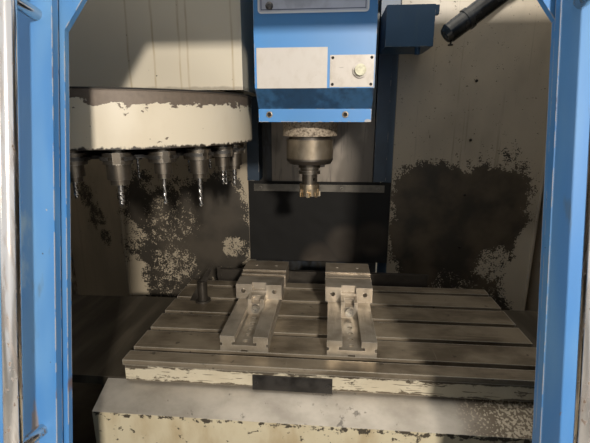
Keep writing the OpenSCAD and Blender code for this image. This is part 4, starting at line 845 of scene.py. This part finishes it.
# Rear cabinet and the magazine's bracket: sheet in cream paint, lightly soiled. The
# photograph doesn't show them, so they are kept plain.
no_stain = (-9.0, -8.0)
no_stain_top = 0.2
plain_cream = (0.60, 0.55, 0.44)
cabinet_paint = grimy_cream("cabinet_paint", no_stain_top, no_stain, [], plain_cream)
dress(cabinet_paint, "rear_cabinet", "magazine_bracket")

# Closing strip between the right way strip and the right wall: a narrow flat sheet in the
# same dark paint, tucked behind the wall's edge and in front of the column.


def box_grid(low, high, bevel=0.002):
    """Vertices and faces of a box between two corners, its +Z rim bevelled."""
    x0, y0, z0 = low
    x1, y1, z1 = high
    b = bevel
    rings = [((x0, y0, z0), (x1, y1)), ((x0, y0, z1 - b), (x1, y1)),
             ((x0 + b, y0 + b, z1), (x1 - b, y1 - b))]
    verts = [v for (ax, ay, az), (bx, by) in rings
             for v in ((ax, ay, az), (bx, ay, az), (bx, by, az), (ax, by, az))]
    faces = [(4 * r + i, 4 * r + (i + 1) % 4, 4 * r + 4 + (i + 1) % 4, 4 * r + 4 + i)
             for r in range(2) for i in range(4)]
    return np.array(verts), faces + [(3, 2, 1, 0), (8, 9, 10, 11)]


closing_strip = box_grid((0.262, 0.490, 0.560), (0.302, 0.493, 1.960), 0.0006)
solid_of("closing_strip", *closing_strip, strip_enamel, "frame", "dark_blue_paint", smooth=False)

# Operator's panel: cream sheet box, its screen a dark glass, its keys plain grey caps in
# rows, and its stop a red mushroom of moulded plastic. No mark is on any of them.
panel_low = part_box("operator_panel")[0]
panel_lean = radians(7)
panel_foot = Vector((panel_low[0], -0.640, 1.120))
panel_frame = Matrix.Translation(panel_foot) @ Matrix.Rotation(pi / 2 - panel_lean, 4, "X")
dress(grimy_cream("operator_panel_paint", no_stain_top, no_stain, [], plain_cream), "operator_panel")
screen_glass = Finish("screen_glass")
screen_tone = screen_glass.mix(screen_glass.noise(0.2), (0.010, 0.013, 0.014), (0.018, 0.022, 0.022))
screen_pane = box_grid((0.055, 0.215, 0.0035), (0.265, 0.425, 0.0065))
solid_of("panel_screen", *many(screen_pane, [panel_frame]), screen_glass.close(screen_tone, 0.08, 0.0),
         "frame", "dark_steel", smooth=False)
key_grey = Finish("key_plastic")
key_tone = key_grey.mix(key_grey.noise(0.01), (0.22, 0.22, 0.21), (0.34, 0.33, 0.31))
key_pitch, key_size = 0.024, 0.018
key_first_x, key_first_y = 0.050, 0.045
key_cap = box_grid((0, 0, -0.0005), (key_size, key_size, 0.004), 0.0015)
key_places = [(key_first_x + key_pitch * i, key_first_y + key_pitch * j, 0)
              for i in range(7) for j in range(5)]
keys = [panel_frame @ Matrix.Translation(place) for place in key_places]
solid_of("panel_keys", *many(key_cap, keys), key_grey.close(key_tone, 0.45, 0.0), "frame",
         "white_plate", smooth=False)
stop_red = Finish("stop_button_plastic")
stop_tone = stop_red.mix(stop_red.noise(0.02), (0.52, 0.03, 0.025), (0.36, 0.025, 0.02))
dress(stop_red.close(stop_tone, 0.32, 0.0), "e_stop")

# Twist drills and end mills in the magazine: each is a two-lobed section that turns as it
# climbs, ground to a point, and shines against the dark holders.
drum_axis_x = (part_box("carousel")[0][0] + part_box("carousel")[1][0]) / 2
pocket_count = 20
first_pocket = radians(-14)
pocket_circle = 0.305
tool_gauge_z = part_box("drum_cover")[0][2] - 0.007
flange_under = 0.027 + 0.038


def twist_drill(radius, length, turns, waist=0.36, rows=40, sides=20):
    """A section whose radius dips twice round, turned steadily along -Z and narrowed to a point."""
    height = np.linspace(0, 1, rows)[:, None]
    angle = np.linspace(0, 2 * pi, sides, endpoint=False)[None, :]
    fluted = np.clip((height - 0.18) * 12, 0, 1)
    dip = waist * fluted * np.clip(np.cos(2 * angle) * 1.6, 0, 1)
    tip = np.clip((1 - height) * length / (radius * 0.9), 0.04, 1)
    reach = radius * (1 - dip) * tip
    turned_by = angle + 2 * pi * turns * height
    drop = -length * height + 0 * angle
    verts = np.stack([reach * np.cos(turned_by), reach * np.sin(turned_by), drop], 2)
    near = np.arange(sides)
    far = (near + 1) % sides
    start = sides * np.arange(rows - 1)[:, None]
    lanes = np.stack([start + near, start + sides + near, start + sides + far, start + far], 2)
    faces = [tuple(f) for f in lanes.reshape(-1, 4)]
    tip_ring = tuple(range((rows - 1) * sides, rows * sides))[::-1]
    return verts.reshape(-1, 3), faces + [tuple(range(sides)), tip_ring]


cutter_verts, cutter_faces = [], []
vertex_count = 0
for n in range(pocket_count):
    angle = first_pocket + 2 * pi * n / pocket_count
    drop = flange_under + (n % 2) * 0.008
    place = Vector((drum_axis_x + pocket_circle * cos(angle), pocket_circle * sin(angle),
                    tool_gauge_z - drop))
    radius = 0.004 + (n % 3) * 0.0015
    reach = 0.034 + (n % 4) * 0.012 + 0.006
    cutter = twist_drill(radius, reach, 1.4 + 0.5 * (n % 3))
    verts, faces = many(cutter, [Matrix.Translation(place)])
    cutter_faces += [tuple(i + vertex_count for i in f) for f in faces]
    cutter_verts.append(verts)
    vertex_count += len(verts)
cutter_steel = ground_steel("cutter_steel", (0.50, 0.48, 0.45), (0.20, 0.18, 0.16), 0.22, 0.9, size=0.01)
cutters = solid_of("twist_cutters", np.concatenate(cutter_verts), cutter_faces, cutter_steel,
                   "carousel", "dark_steel")
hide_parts("magazine_cutters")

# Levelling bolts: a threaded steel stud with a hexagon nut on each foot lug, zinc-plated and
# dull. They carry the base and set it level.
zinc = ground_steel("zinc_plate", (0.45, 0.45, 0.42), (0.24, 0.23, 0.21), 0.4, 0.7)
stud = turned([(0.0098, 0.0), (0.0098, 0.075), (0.0088, 0.078)], 24)
nut = turned([(0.0150, 0.0), (0.0172, 0.002), (0.0172, 0.014), (0.0150, 0.016)], 6)
foot_top = 0.075
foot_places = [(sx * 0.425, y) for sx in (-1, 1) for y in (-0.45, 0.45, 0.96)]
stud_spots = [Matrix.Translation((x, y, foot_top - 0.036)) for x, y in foot_places]
nut_spots = [Matrix.Translation((x, y, foot_top)) for x, y in foot_places]
solid_of("leveling_studs", *many(stud, stud_spots), zinc, "frame", "bare_steel")
solid_of("leveling_nuts", *many(nut, nut_spots), zinc, "frame", "bare_steel", smooth=False)
